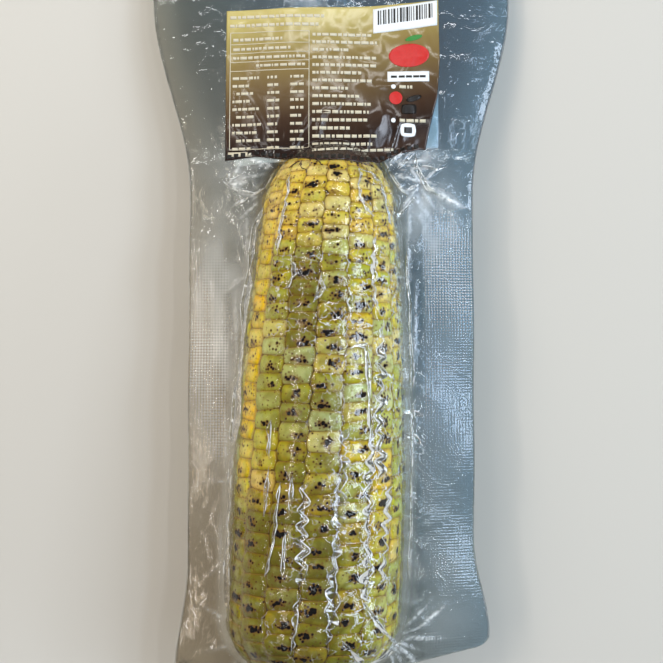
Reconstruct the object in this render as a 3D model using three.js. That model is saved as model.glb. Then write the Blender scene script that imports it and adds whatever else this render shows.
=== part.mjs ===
// Grilled corn on the cob, vacuum-packed in a clear bag, lying as it rests on a table.
// Millimetres, +Z up. The cob lies along Y: its butt points to -Y, and the bag's printed
// header reaches out past the tip to +Y. The origin is the middle of the underside.
import * as THREE from "three";

// ---- Driving dimensions ----
const cob = {
  buttY: -102.3, // the saw cut at the thick end
  tipY: 53.5, // the trimmed thin end
  radius: 25.4, // over the crowns, at the thickest
  taperFrom: -73, // y where the body starts to narrow towards the tip
  taper: 0.000496, // radius lost per mm squared past taperFrom
  buttRoundY: -86, // the butt end rounds off from here
  buttRoundLength: 19,
  buttPower: 2.2,
  tipRoundY: 37, // and the tip from here
  tipRoundLength: 18,
  tipPower: 2,
  axisX: -2.15, // the cob lies slightly askew in its bag
  axisSlope: 0.0363,
  flatDepth: 0.8, // how much of the lowest crowns is pressed flat on the table
};
const kernels = {
  rows: 16, // rows round the cob
  perRow: 32,
  firstAngle: -5, // degrees from straight up, at helixY
  helix: 0.065, // degrees of twist per mm
  helixY: 7.4,
  pitchGrowth: 0.22, // kernels are this share longer at the butt, and shorter at the tip
  stagger: 0.24, // neighbouring rows are shifted by this share of a kernel, each way
  jitter: 0.2,
  rowGroove: 1.8, // depth between rows
  crossGroove: 1.0, // depth between the kernels of one row
  crownEdge: 0.23, // share of a kernel's width or length that slopes to the groove
  crownSpread: 0.4, // how far the lowest crown lies under the highest
  zigzag: 0.09, // share of a row's angle by which a full kernel pushes its neighbours
};
const bag = {
  halfLength: 114.3,
  halfWidth: 55,
  pulledIn: 12, // each side is drawn in beside the cob
  bottomEdge: -107, // the bottom weld's edge in line with the cob
  bottomSlope: 0.187, // and its slant
  film: 0.8, // thickness where the two films are welded
  slope: 3, // steepest slope of film stretched from the cob to the weld
  contact: 71, // the film leaves the cob's sides this many degrees from straight up
  endContact: 83, // and its two ends
  sideHeight: 0.92, // height of the weld beside the cob, as a share of the axis height
  tipHeight: 18, // height of the weld in front of the tip
  farHeight: 5.5, // height that the film droops to far from the cob
  droopLength: 42,
  clearance: 0.9, // from the highest crowns
};
const print = {
  halfWidth: 33,
  bottomY: 50.6,
  topY: 97.3,
  backDrop: 2.6, // the far film's print sits this much nearer the cob
  room: 1.6, // where the panels lie over the cob's tip, they keep this much further off
  gap: 0.6,
  thickness: 0.4,
};

// ---- Small helpers ----
const lerp = (a, b, t) => a + (b - a) * t;
const clamp = (x, a, b) => Math.min(Math.max(x, a), b);
const smooth = (t) => {
  const c = clamp(t, 0, 1);
  return c * c * (3 - 2 * c);
};
// A repeatable number from 0 to 1 for a pair of whole numbers.
const noise = (a, b) => {
  const v = Math.sin(a * 127.1 + b * 311.7) * 43758.5453;
  return v - Math.floor(v);
};
const range = (n) => Array.from({ length: n }, (_, i) => i);
const spaced = (from, to, steps) => range(steps).map((i) => lerp(from, to, i / steps));

// ---- The cob's profile ----
// Body radius: constant, then falling with the square of the distance past taperFrom.
const bodyRadius = (y) => cob.radius - cob.taper * Math.max(0, y - cob.taperFrom) ** 2;
// Crown radius at y: the body rounded off at both ends by a superellipse.
function crownRadius(y) {
  const butt = clamp((cob.buttRoundY - y) / cob.buttRoundLength, 0, 1);
  const tip = clamp((y - cob.tipRoundY) / cob.tipRoundLength, 0, 1);
  const buttShare = (1 - butt ** cob.buttPower) ** (1 / cob.buttPower);
  const tipShare = (1 - tip ** cob.tipPower) ** (1 / cob.tipPower);
  return bodyRadius(y) * buttShare * tipShare;
}
const axisX = (y) => cob.axisX + cob.axisSlope * y;
const axisZ = (y) => bodyRadius(y) - cob.flatDepth;

// Profile points and the length of the curve up to each, so that kernels keep their size on the ends.
const profileSteps = 400;
const profile = { y: [], length: [0] };
for (let i = 0; i <= profileSteps; i++) {
  // Points crowd towards both ends, where the profile is steep.
  const share = (1 - Math.cos((Math.PI * i) / profileSteps)) / 2;
  profile.y.push(lerp(cob.buttY, cob.tipY, share));
  if (i > 0) {
    const [a, b] = [profile.y[i - 1], profile.y[i]];
    const step = Math.hypot(b - a, crownRadius(b) - crownRadius(a));
    profile.length.push(profile.length[i - 1] + step);
  }
}
const profileLength = profile.length[profileSteps];
function profileY(length) {
  let i = profile.length.findIndex((l) => l >= length);
  if (i < 0) return cob.tipY;
  i = Math.max(i, 1);
  const [a, b] = [profile.length[i - 1], profile.length[i]];
  return lerp(profile.y[i - 1], profile.y[i], (length - a) / (b - a));
}

// ---- Kernel layout ----
// Where row r's kernels begin and end along the profile. Rows are staggered like bricks, with some jitter.
function rowBounds(r) {
  const stagger = (r % 2 ? 1 : -1) * kernels.stagger;
  return Array.from({ length: kernels.perRow + 1 }, (_, k) => {
    if (k === 0) return 0;
    if (k === kernels.perRow) return profileLength;
    const share = (k + stagger + kernels.jitter * (noise(r, k) - 0.5)) / kernels.perRow;
    return profileLength * (share + (kernels.pitchGrowth * Math.sin(Math.PI * share)) / Math.PI);
  });
}
const bounds = Array.from({ length: kernels.rows }, (_, r) => rowBounds(r));
// How full row r's kernel is at this place: 1 at its middle, 0 in the groove.
function fullness(r, length) {
  const b = bounds[r];
  const k = clamp(b.findIndex((edge) => edge > length) - 1, 0, kernels.perRow - 1);
  return Math.sin((Math.PI * (length - b[k])) / (b[k + 1] - b[k])) ** 2;
}
const rowAngle = 360 / kernels.rows;

// A point of the cob at an angle from straight up, this far under the crowns. The lowest crowns are flat.
function cobPoint(angleDegrees, length, depth) {
  const y = profileY(length);
  const a = THREE.MathUtils.degToRad(angleDegrees + kernels.helix * (y - kernels.helixY));
  const r = crownRadius(y) - depth;
  return [axisX(y) + r * Math.sin(a), y, Math.max(0, axisZ(y) + r * Math.cos(a))];
}

// ---- Mesh makers ----
function meshGeometry(points, triangles) {
  const g = new THREE.BufferGeometry();
  g.setAttribute("position", new THREE.Float32BufferAttribute(points.flat(), 3));
  g.setIndex(triangles.flat());
  return g;
}
// Triangles between neighbouring rings of n points, each ring seen anticlockwise from the next.
// With around set, the last ring is joined to the first again.
function ringTriangles(count, n, around) {
  const triangles = [];
  for (let j = 0; j < (around ? count : count - 1); j++) {
    const up = ((j + 1) % count) * n;
    for (let i = 0; i < n; i++) {
      const next = (i + 1) % n;
      triangles.push([j * n + i, j * n + next, up + i], [j * n + next, up + next, up + i]);
    }
  }
  return triangles;
}
// A closed surface from rings, with a fan of triangles to a middle point at both ends.
function closedRings(rings) {
  const n = rings[0].length;
  const points = rings.flat();
  const triangles = ringTriangles(rings.length, n, false);
  for (const [j, turned] of [[0, true], [rings.length - 1, false]]) {
    const middle = points.length;
    points.push([0, 1, 2].map((c) => rings[j].reduce((sum, p) => sum + p[c], 0) / n));
    for (let i = 0; i < n; i++) {
      const [a, b] = [j * n + i, j * n + ((i + 1) % n)];
      triangles.push(turned ? [a, middle, b] : [a, b, middle]);
    }
  }
  return meshGeometry(points, triangles);
}
// A closed sheet between two grids of points that share their plan, lower and upper.
function closedSheet(lower, upper) {
  const [rows, cols] = [lower.length, lower[0].length];
  const points = [...lower.flat(), ...upper.flat()];
  const at = (top, j, i) => (top ? rows * cols : 0) + j * cols + i;
  const triangles = [];
  const quad = (a, b, c, d) => triangles.push([a, b, c], [a, c, d]);
  for (let j = 0; j + 1 < rows; j++) {
    for (let i = 0; i + 1 < cols; i++) {
      quad(at(1, j, i), at(1, j, i + 1), at(1, j + 1, i + 1), at(1, j + 1, i));
      triangles.push([at(0, j, i), at(0, j + 1, i + 1), at(0, j, i + 1)]);
      triangles.push([at(0, j, i), at(0, j + 1, i), at(0, j + 1, i + 1)]);
    }
  }
  const rim = [
    ...range(cols - 1).map((i) => [0, i]),
    ...range(rows - 1).map((j) => [j, cols - 1]),
    ...range(cols - 1).map((i) => [rows - 1, cols - 1 - i]),
    ...range(rows - 1).map((j) => [rows - 1 - j, 0]),
  ];
  rim.forEach(([j, i], n) => {
    const [j2, i2] = rim[(n + 1) % rim.length];
    quad(at(0, j, i), at(0, j2, i2), at(1, j2, i2), at(1, j, i));
  });
  return meshGeometry(points, triangles);
}
// ---- The cob: every kernel is a low truncated pyramid, set in staggered rows ----
function cobGeometry() {
  const { rows, perRow, crownEdge } = kernels;
  const shares = [0, crownEdge, 1 - crownEdge];
  // Line j runs round the cob through the j-th groove or crown edge of every row.
  const lineOf = (r, j) => {
    const k = Math.min(Math.floor(j / 3), perRow - 1);
    return lerp(bounds[r][k], bounds[r][k + 1], j === perRow * 3 ? 1 : shares[j % 3]);
  };
  const rings = [];
  for (let j = 0; j <= perRow * 3; j++) {
    const ring = [];
    for (let r = 0; r < rows; r++) {
      const left = (r + rows - 1) % rows;
      const edgeLength = (lineOf(left, j) + lineOf(r, j)) / 2;
      const push = kernels.zigzag * (fullness(left, edgeLength) - fullness(r, edgeLength));
      const edgeAngle = kernels.firstAngle + rowAngle * (r + push);
      ring.push(cobPoint(edgeAngle, edgeLength, kernels.rowGroove));
      const crown = kernels.crownSpread * noise(r + 40, Math.floor(j / 3));
      const depth = j % 3 === 0 ? kernels.crossGroove : crown;
      for (const share of shares.slice(1)) {
        const angle = kernels.firstAngle + rowAngle * (r + share);
        ring.push(cobPoint(angle, lineOf(r, j), depth));
      }
    }
    rings.push(ring);
  }
  return closedRings(rings);
}

// ---- The bag ----
// Distance of a plan point from the cob's outline, 0 inside it.
function outside(x, y) {
  const near = clamp(y, cob.buttY, cob.tipY);
  return Math.hypot(Math.max(Math.abs(x - axisX(near)) - crownRadius(near), 0), y - near);
}
// Height of the welded films' middle: level with the cob's axis, drooping away from it, with soft waves.
function weldZ(x, y) {
  const near = clamp(y, cob.buttY, cob.tipY);
  const d = outside(x, y);
  const towardsTip = smooth((y - 25) / (cob.tipY - 25));
  const beside = lerp(bag.sideHeight * axisZ(near), bag.tipHeight, towardsTip);
  const droop = Math.exp(-((d / bag.droopLength) ** 2));
  const sideWave = 1.1 * Math.sin(y / 6.5 + x / 30) * smooth((d - 6) / 14) * (1 - towardsTip);
  const headerWave = 1.1 * Math.sin(x / 8 + y / 45 + 0.6) * smooth((d - 2) / 12) * towardsTip;
  return lerp(bag.farHeight, beside, droop) + sideWave + headerWave;
}
// Radius of the film round the cob at y: the profile, never falling faster than the steepest slope.
function filmRadius(y) {
  return profile.y.reduce(
    (most, py) => Math.max(most, crownRadius(py) - bag.slope * Math.abs(y - py)),
    -Infinity,
  );
}
// Height of film over the axis, round a circle of radius r: the circle, then its tangent of that slope.
function filmRise(dx, r) {
  const steep = Math.hypot(1, bag.slope);
  const tangentAt = (r * bag.slope) / steep;
  return dx < tangentAt ? Math.sqrt(r * r - dx * dx) : r * steep - bag.slope * dx;
}
// Half the bag's width at y: its sides are drawn in beside the cob.
function halfWidth(y) {
  const drawn = smooth((100 - y) / 60) * (1 - 0.4 * smooth((-70 - y) / 40));
  return bag.halfWidth - bag.pulledIn * drawn;
}

// The bag is a closed frame round the cob: cross-sections of it stand side by side like spokes.
// Each spoke on one side, from the butt's middle to the tip's: its start on the cob's outline
// as [distance from the axis, y], and its end on the bag's edge as [x, y].
function halfSpokes(side) {
  const grown = (y) => crownRadius(y) + bag.clearance;
  const onCob = (y) => [grown(y), y];
  const onButt = (share) => [share * grown(cob.buttY), cob.buttY - bag.clearance];
  const onTip = (share) => [share * grown(cob.tipY), cob.tipY + bag.clearance];
  const middleX = axisX(bag.bottomEdge);
  const bottom = (share) => {
    const x = lerp(middleX, side * halfWidth(-bag.halfLength), share);
    return [x, bag.bottomEdge + bag.bottomSlope * (x - middleX)];
  };
  const sideAt = (y) => [side * halfWidth(y), y];
  const top = (share) => [side * share * bag.halfWidth, bag.halfLength];
  const corner = bottom(1)[1];
  return [
    [onButt(0), bottom(0)],
    [onButt(0.5), bottom(0.2)],
    [onCob(cob.buttY), bottom(0.42)],
    [onCob(-100), bottom(0.68)],
    [onCob(-96), bottom(0.93)],
    [onCob(-91), sideAt(corner + 4)],
    [onCob(-85), sideAt(lerp(corner + 4, -78, 0.55))],
    ...spaced(-78, 36, 15).map((y) => [onCob(y), sideAt(y)]),
    [onCob(36), sideAt(37)],
    [onCob(41), sideAt(48)],
    [onCob(45.5), sideAt(62)],
    [onCob(49), sideAt(78)],
    [onCob(51.5), sideAt(94)],
    [onCob(cob.tipY), sideAt(bag.halfLength - 4)],
    ...spaced(0.9, 0, 5).map((share) => [onTip(share), top(share * 1.03)]),
    [onTip(0), top(0)],
  ];
}
const filmSteps = 6; // steps across the welded film, from the wedge's foot to the bag's edge
function crossSection(side, [radius, y], end) {
  const near = clamp(y, cob.buttY, cob.tipY);
  const ends = Math.max(smooth((y - 25) / (cob.tipY - 25)), smooth((-80 - y) / 22));
  const contact = lerp(bag.contact, bag.endContact, ends);
  const full = crownRadius(near) + bag.clearance;
  // Points of the wall that faces the cob, from the top down.
  const wall = [0, 1, 2, 3].map((n) => {
    const a = THREE.MathUtils.degToRad(lerp(contact, 180 - contact, n / 3));
    return [axisX(near) + side * radius * Math.sin(a), y, axisZ(near) + full * Math.cos(a)];
  });
  const start = wall[0];
  const span = Math.hypot(end[0] - start[0], end[1] - start[1]);
  const fall = Math.abs(start[2] - weldZ(start[0], start[1]));
  const foot = Math.max(1.2, fall / bag.slope) / span;
  const across = spaced(foot, 1, filmSteps).concat(1);
  const film = (offset) =>
    across.map((share) => {
      const [x, py] = [lerp(start[0], end[0], share), lerp(start[1], end[1], share)];
      return [x, py, weldZ(x, py) + offset];
    });
  return [...film(bag.film / 2), ...film(-bag.film / 2).reverse(), ...wall.reverse()];
}
function bagGeometry() {
  const right = halfSpokes(1).map(([start, end]) => crossSection(1, start, end));
  const left = halfSpokes(-1).slice(1, -1).map(([start, end]) => crossSection(-1, start, end));
  const rings = [...right, ...left.reverse()];
  return meshGeometry(rings.flat(), ringTriangles(rings.length, rings[0].length, true));
}

// ---- The printed panels: ink on the near and the far film of the header ----
// Level of the film's outer face, above (1) or below (-1) the weld.
// Over the cob's tip it follows the cob, with some room.
function faceZ(x, y, face) {
  const rise = filmRise(Math.abs(x - axisX(y)), filmRadius(y) + print.room);
  const overTip = axisZ(Math.min(y, cob.tipY)) + face * rise;
  const overWeld = weldZ(x, y) + (face * bag.film) / 2;
  return face > 0 ? Math.max(overWeld, overTip) : Math.min(overWeld, overTip);
}
function printGeometry(face, fromY, toY) {
  const ys = [fromY, fromY + 3, fromY + 6, ...spaced(fromY + 9, toY, 6), toY];
  const xs = [...spaced(-print.halfWidth, print.halfWidth, 12), print.halfWidth];
  const layer = (offset) => ys.map((y) => xs.map((x) => [x, y, faceZ(x, y, face) + offset]));
  const [near, far] = [face * print.gap, face * (print.gap + print.thickness)];
  return face > 0 ? closedSheet(layer(near), layer(far)) : closedSheet(layer(far), layer(near));
}

// ---- Scene graph ----
const materials = {
  corn: new THREE.MeshStandardMaterial({ color: 0xd0b23c, roughness: 0.35 }),
  film: new THREE.MeshStandardMaterial({
    color: 0xc4cbd0,
    roughness: 0.1,
    transparent: true,
    opacity: 0.35,
  }),
  nearInk: new THREE.MeshStandardMaterial({ color: 0x7a6540, roughness: 0.4 }),
  farInk: new THREE.MeshStandardMaterial({ color: 0xd8e2e8, roughness: 0.5 }),
};
const part = new THREE.Group();
const pieces = [
  ["cob", cobGeometry(), materials.corn],
  ["bag", bagGeometry(), materials.film],
  ["print_near", printGeometry(1, print.bottomY, print.topY), materials.nearInk],
  ["print_far", printGeometry(-1, print.bottomY - print.backDrop, print.topY - 3), materials.farInk],
];
for (const [name, geometry, material] of pieces) {
  const mesh = new THREE.Mesh(geometry, material);
  mesh.name = name;
  part.add(mesh);
}

export default part;
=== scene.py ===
# Grilled corn cob in a clear vacuum bag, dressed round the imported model.
# Shapes are worked out in millimetres in the model's own frame and become metres in addMesh.
import math

import bpy
import numpy as np
from mathutils import Matrix


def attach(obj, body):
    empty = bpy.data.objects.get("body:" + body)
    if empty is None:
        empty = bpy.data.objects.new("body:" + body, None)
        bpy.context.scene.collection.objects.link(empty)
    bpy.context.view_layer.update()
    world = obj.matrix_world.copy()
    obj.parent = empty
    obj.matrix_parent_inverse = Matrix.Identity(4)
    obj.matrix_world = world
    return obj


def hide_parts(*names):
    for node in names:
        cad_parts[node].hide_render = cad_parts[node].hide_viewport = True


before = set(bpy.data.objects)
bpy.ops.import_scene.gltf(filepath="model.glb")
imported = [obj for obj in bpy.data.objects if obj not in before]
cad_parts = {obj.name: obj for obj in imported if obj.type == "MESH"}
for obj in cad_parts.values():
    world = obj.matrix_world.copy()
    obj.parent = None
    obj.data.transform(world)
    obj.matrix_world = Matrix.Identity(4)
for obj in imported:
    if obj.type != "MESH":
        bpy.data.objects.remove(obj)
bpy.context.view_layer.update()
mm = 0.001
print("frame loaded:", ", ".join(sorted(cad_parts)))


# Linear blend: a + (b - a) t.
def lerp(a, b, t):
    return a + (b - a) * t


# Smooth step: 3 t^2 - 2 t^3, with t held between 0 and 1.
def smooth(t):
    t = np.clip(t, 0.0, 1.0)
    return t * t * (3.0 - 2.0 * t)


# Bell curve: exp(-((v - middle) / reach)^2).
def bell(v, middle, reach):
    return np.exp(-(((v - middle) / reach) ** 2))


# A repeatable number from 0 to 1 for whole numbers: what follows the point in a large multiple of a sine.
def hashed(a, b, c=0.0):
    v = np.sin(np.asarray(a) * 127.1 + np.asarray(b) * 311.7 + np.asarray(c) * 74.7) * 43758.5453
    return v - np.floor(v)


# Value noise from -1 to 1: random numbers at whole coordinates, blended by smooth steps in between.
def valueNoise(x, y, z=0.0):
    x, y, z = np.broadcast_arrays(x, y, z)
    x0, y0, z0 = np.floor(x), np.floor(y), np.floor(z)
    tx, ty, tz = smooth(x - x0), smooth(y - y0), smooth(z - z0)
    total = 0.0
    for i in (0, 1):
        for j in (0, 1):
            for k in (0, 1):
                share = (tx if i else 1 - tx) * (ty if j else 1 - ty) * (tz if k else 1 - tz)
                total = total + share * hashed(x0 + i, y0 + j, z0 + k)
    return 2.0 * total - 1.0


# Largest value within some steps each way; the angle axis joins up, the length axis stops at its ends.
def slidingMax(field, steps):
    across = np.max([np.roll(field, n, axis=1) for n in range(-steps, steps + 1)], axis=0)
    padded = np.pad(across, ((steps, steps), (0, 0)), mode="edge")
    rows = field.shape[0]
    return np.max([padded[n : n + rows] for n in range(2 * steps + 1)], axis=0)


# Mean with both neighbours, weights 1 2 1, along each axis in turn.
def softened(field, times):
    for _ in range(times):
        field = (np.roll(field, 1, 1) + 2 * field + np.roll(field, -1, 1)) / 4
        padded = np.pad(field, ((1, 1), (0, 0)), mode="edge")
        field = (padded[:-2] + 2 * field + padded[2:]) / 4
    return field


# Value of a grid at row j and column i, which may fall between points: the four round it, blended. The
# last column joins up with the first.
def blendAt(grid, j, i):
    j0, i0 = np.floor(j).astype(int), np.floor(i).astype(int)
    left, right = i0 % grid.shape[1], (i0 + 1) % grid.shape[1]
    low = lerp(grid[j0, left], grid[j0, right], i - i0)
    high = lerp(grid[j0 + 1, left], grid[j0 + 1, right], i - i0)
    return lerp(low, high, j - j0)


# Faces of a grid of points, rows by columns, as quads that face up when rows run to +Y and columns to +X.
def gridQuads(rows, columns, joined=False):
    i = np.arange(rows - 1)[:, None] * columns
    j = np.arange(columns if joined else columns - 1)[None, :]
    k = (j + 1) % columns
    return np.stack([i + j, i + k, i + columns + k, i + columns + j], axis=-1).reshape(-1, 4)


# Triangles that close the first and last ring of a tube to poles, whose points come after the rings'.
def poleFans(rings, columns):
    j = np.arange(columns)
    after, last, pole = (j + 1) % columns, (rings - 1) * columns, rings * columns
    low = np.stack([after, j, j * 0 + pole], 1)
    return np.concatenate([low, np.stack([last + j, last + after, j * 0 + pole + 1], 1)])


# Faces of a tube of rings with a flat polygon at each end, its points counted from start.
def tubeFaces(rings, columns, start):
    j = np.arange(columns)
    ends = np.array([j[::-1], (rings - 1) * columns + j])
    return gridQuads(rings, columns, joined=True) + start, ends + start


# Puts points in millimetres and groups of faces with equal corner counts into a smooth-shaded object.
def addMesh(name, points, faceGroups, material, maps=None, attributes=None):
    mesh = bpy.data.meshes.new(name)
    groups = [np.asarray(group, dtype=np.int32) for group in faceGroups if len(group)]
    corners = np.concatenate([group.ravel() for group in groups])
    sizes = np.concatenate([np.full(len(group), group.shape[1]) for group in groups])
    mesh.vertices.add(len(points))
    mesh.vertices.foreach_set("co", (np.asarray(points) * mm).astype(np.float32).ravel())
    mesh.loops.add(len(corners))
    mesh.loops.foreach_set("vertex_index", corners)
    mesh.polygons.add(len(sizes))
    mesh.polygons.foreach_set("loop_start", (np.cumsum(sizes) - sizes).astype(np.int32))
    mesh.polygons.foreach_set("use_smooth", np.ones(len(sizes), dtype=bool))
    mesh.update(calc_edges=True)
    for key, uv in (maps or {}).items():
        layer = mesh.uv_layers.new(name=key)
        layer.data.foreach_set("uv", uv.reshape(-1, 2)[corners].astype(np.float32).ravel())
    for key, values in (attributes or {}).items():
        layer = mesh.attributes.new(key, "FLOAT", "POINT")
        layer.data.foreach_set("value", np.asarray(values, dtype=np.float32).ravel())
    mesh.materials.append(material)
    piece = bpy.data.objects.new(name, mesh)
    bpy.context.collection.objects.link(piece)
    print(f"{name}: {len(points)} points, {int((sizes - 2).sum())} triangles")
    return piece


# sRGB hex to linear: each channel over 12.92 where dark, else ((c + 0.055) / 1.055) ^ 2.4.
def colour(hexCode, alpha=1.0):
    channels = [int(hexCode[n : n + 2], 16) / 255 for n in (1, 3, 5)]
    return [c / 12.92 if c <= 0.04045 else ((c + 0.055) / 1.055) ** 2.4 for c in channels] + [alpha]


# Adds a node. Settings name its properties or sockets, or give a colour ramp its stops; links name
# sockets and what feeds each, an output or a node, which stands for its first output.
def addNode(tree, kind, settings=None, links=None):
    node = tree.nodes.new("ShaderNode" + kind)
    for key, value in (settings or {}).items():
        if key == "stops":
            while len(node.color_ramp.elements) < len(value):
                node.color_ramp.elements.new(0.5)
            for element, (position, hexCode) in zip(node.color_ramp.elements, value):
                element.position = position
                element.color = colour(hexCode)
        elif isinstance(key, str) and hasattr(node, key):
            setattr(node, key, value)
        else:
            node.inputs[key].default_value = value
    for key, source in (links or {}).items():
        tree.links.new(getattr(source, "outputs", [source])[0], node.inputs[key])
    return node


# A new material and its empty tree.
def newMaterial(name):
    material = bpy.data.materials.new(name)
    material.use_nodes = True
    material.node_tree.nodes.clear()
    return material, material.node_tree


# The cob's form in mm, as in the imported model.
cobForm = {
    "buttY": -102.3,
    "tipY": 53.5,
    "radius": 25.4,
    "taperFrom": -73.0,
    "taper": 0.000496,
    "buttRoundY": -86.0,
    "buttRoundLength": 19.0,
    "buttPower": 2.2,
    "tipRoundY": 37.0,
    "tipRoundLength": 18.0,
    "tipPower": 2.0,
    "axisX": -2.15,
    "axisSlope": 0.0363,
    "flatDepth": 0.8,
    "profileSteps": 1200,
    "leastRadius": 3.0,  # mm, for what is measured round the cob near its closed ends
}


# Body radius: constant, less the taper times the square of the distance past taperFrom.
def bodyRadius(y):
    return cobForm["radius"] - cobForm["taper"] * np.maximum(0, y - cobForm["taperFrom"]) ** 2


# Crown radius: the body radius times a superellipse (1 - t^p)^(1/p) over each rounded end.
def crownRadius(y):
    butt = np.clip((cobForm["buttRoundY"] - y) / cobForm["buttRoundLength"], 0, 1)
    tip = np.clip((y - cobForm["tipRoundY"]) / cobForm["tipRoundLength"], 0, 1)
    buttShare = (1 - butt ** cobForm["buttPower"]) ** (1 / cobForm["buttPower"])
    return bodyRadius(y) * buttShare * (1 - tip ** cobForm["tipPower"]) ** (1 / cobForm["tipPower"])


# The axis leans aside in a straight line.
def axisX(y):
    return cobForm["axisX"] + cobForm["axisSlope"] * y


# The axis is a body radius above the table, less the depth of the flat that the cob rests on.
def axisZ(y):
    return bodyRadius(y) - cobForm["flatDepth"]


# The nearest y that the cob reaches.
def besideCob(y):
    return np.clip(y, cobForm["buttY"], cobForm["tipY"])


# The profile from butt to tip, in steps that crowd at both ends, and the length run to each point.
profileTurn = np.linspace(0, math.pi, cobForm["profileSteps"] + 1)
profileY = lerp(cobForm["buttY"], cobForm["tipY"], (1 - np.cos(profileTurn)) / 2)
profileStep = np.hypot(np.diff(profileY), np.diff(crownRadius(profileY)))
profileLength = np.concatenate([[0], np.cumsum(profileStep)])
cobLength = profileLength[-1]


# Crown radius at a length along the profile, never under the least radius.
def radiusAt(length):
    return np.maximum(crownRadius(np.interp(length, profileLength, profileY)), cobForm["leastRadius"])


kernels = {
    "rows": 16,
    "perRow": 32,
    "firstAngle": -5.0,
    "helix": 0.065,  # degrees a mm, from helixY
    "helixY": 7.4,
    "pitchGrowth": 0.22,  # how much longer kernels are towards the butt
    "stagger": 0.24,  # shares of a kernel's length
    "jitter": 0.2,
    "rowGroove": 0.52,  # mm between rows
    "crossGroove": 0.25,  # mm between the kernels of one row
    "shoulder": 0.85,  # mm over which a kernel rounds down to the groove
    "doming": 0.3,  # mm that a crown has sunk domeWide off its middle; 0.6 of that domeLong off along it
    "domeWide": 4.8,
    "domeLong": 2.6,
    "crownSpread": 0.35,  # mm between the highest and the lowest crown
    "leans": [0.05, 0.07],  # mm in a mm, the most that a crown leans across and along
    "bumps": [(0.09, 1.7), (0.1, 3.6)],  # mm, height and size of faint bumps
    "corner": 20.0,  # the power that rounds a kernel's corners; lower is rounder
    "directions": 26,
    "insets": [0.0, 0.05, 0.16, 0.36, 0.64, 1.0],  # mm in from a kernel's border
    "shares": [0.66, 0.32],  # rings inside those, as shares of the last
    "wall": 1.5,  # mm that a kernel's side goes on down in the groove
    "foot": 3.2,  # mm down to a kernel's lower pole
    # A kernel's clump of scorch, in mm across and along: how widely its middle may lie, how far below the
    # kernel's own, and its least reach and what chance adds to that.
    "clumpSpread": [3.6, 1.9],
    "clumpLow": 0.35,
    "clumpReach": [(1.3, 1.9), (0.8, 0.8)],
}
rowCount, perRow = kernels["rows"], kernels["perRow"]
rowAngle = 360 / rowCount
rowOf = np.arange(rowCount)[:, None] + np.zeros((1, perRow))
kernelOf = np.arange(perRow)[None, :] + np.zeros((rowCount, 1))


# One random number from 0 to 1 for each kernel; n says which.
def kernelDraw(n):
    return hashed(rowOf, kernelOf, n)


# Where each row's kernels begin and end along the profile: equal shares, moved by stagger and jitter,
# then stretched towards the butt by growth * sin(pi share) / pi.
def kernelBounds():
    row = np.arange(rowCount)[:, None]
    k = np.arange(perRow + 1)[None, :]
    shift = np.where(row % 2 == 1, 1, -1) * kernels["stagger"]
    share = (k + shift + kernels["jitter"] * (hashed(row, k) - 0.5)) / perRow
    bounds = cobLength * (share + kernels["pitchGrowth"] * np.sin(math.pi * share) / math.pi)
    bounds[:, 0], bounds[:, -1] = 0, cobLength
    return bounds


# Kernel middles: place round the cob counted in rows, which wander a little, and length along the profile.
kernelEnds = kernelBounds()
middleLength = (kernelEnds[:, :-1] + kernelEnds[:, 1:]) / 2
wander = 0.12 * valueNoise(rowOf * 5.3, kernelOf / 6.0) + 0.08 * (kernelDraw(3) - 0.5)
middlePlace = rowOf + 0.5 + wander
print("kernels:", middlePlace.size)


# A point of the cob: on its axis, plus the radius along the angle; the lowest crowns lie flat.
def cobPoints(radius, turn, y):
    z = axisZ(y) + radius * np.cos(turn)
    return np.stack([axisX(y) + radius * np.sin(turn), y, np.maximum(z, 0)], axis=-1)


# Turn in radians at a place in rows and a y: rows twist slightly along the cob.
def cobTurn(place, y):
    angle = kernels["firstAngle"] + place * rowAngle + kernels["helix"] * (y - kernels["helixY"])
    return np.radians(angle)


# Vectors in mm from each kernel's middle to its neighbours', and whether they are in another row.
# Past both ends of a row stands a mirrored neighbour, so that the last kernel stops at the end.
def kernelNeighbours():
    radius = radiusAt(middleLength)
    across, along, otherRow, usable = [], [], [], []
    for rowStep in (-1, 0, 1):
        row = ((rowOf + rowStep) % rowCount).astype(int)
        for kernelStep in range(-3, 4):
            if rowStep == 0 and kernelStep == 0:
                continue
            k = (kernelOf + kernelStep).astype(int)
            inside = (k >= 0) & (k < perRow)
            k = np.clip(k, 0, perRow - 1)
            places = middlePlace[row, k] - row + rowStep - (middlePlace - rowOf)
            across.append(np.radians(places * rowAngle) * radius)
            along.append(middleLength[row, k] - middleLength)
            otherRow.append(rowStep != 0)
            usable.append(inside)
    for edge in (0.0, cobLength):
        across.append(np.zeros_like(middleLength))
        along.append(2 * (edge - middleLength))
        otherRow.append(False)
        usable.append(np.ones_like(middleLength, dtype=bool))
    return np.array(across), np.array(along), np.array(otherRow), np.array(usable), radius


# Relief under the crowns in mm at a distance from the border: a quarter-round shoulder down to the
# groove, a slight dome, a random height and lean for each kernel.
def kernelRelief(edge, depth, across, along, row, k):
    t = np.clip(edge / kernels["shoulder"], 0, 1)
    shoulder = 0.85 * np.sqrt(1 - (1 - t) ** 2) + 0.15 * t
    dome = kernels["doming"] * ((across / kernels["domeWide"]) ** 2 + 0.6 * (along / kernels["domeLong"]) ** 2)
    spread = kernels["crownSpread"] * hashed(row + 40, k)
    wide, long = kernels["leans"]
    lean = wide * (2 * hashed(row, k, 9) - 1) * across + long * (2 * hashed(row, k, 10) - 1) * along
    return -depth * (1 - shoulder) - dome - spread + lean


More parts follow.
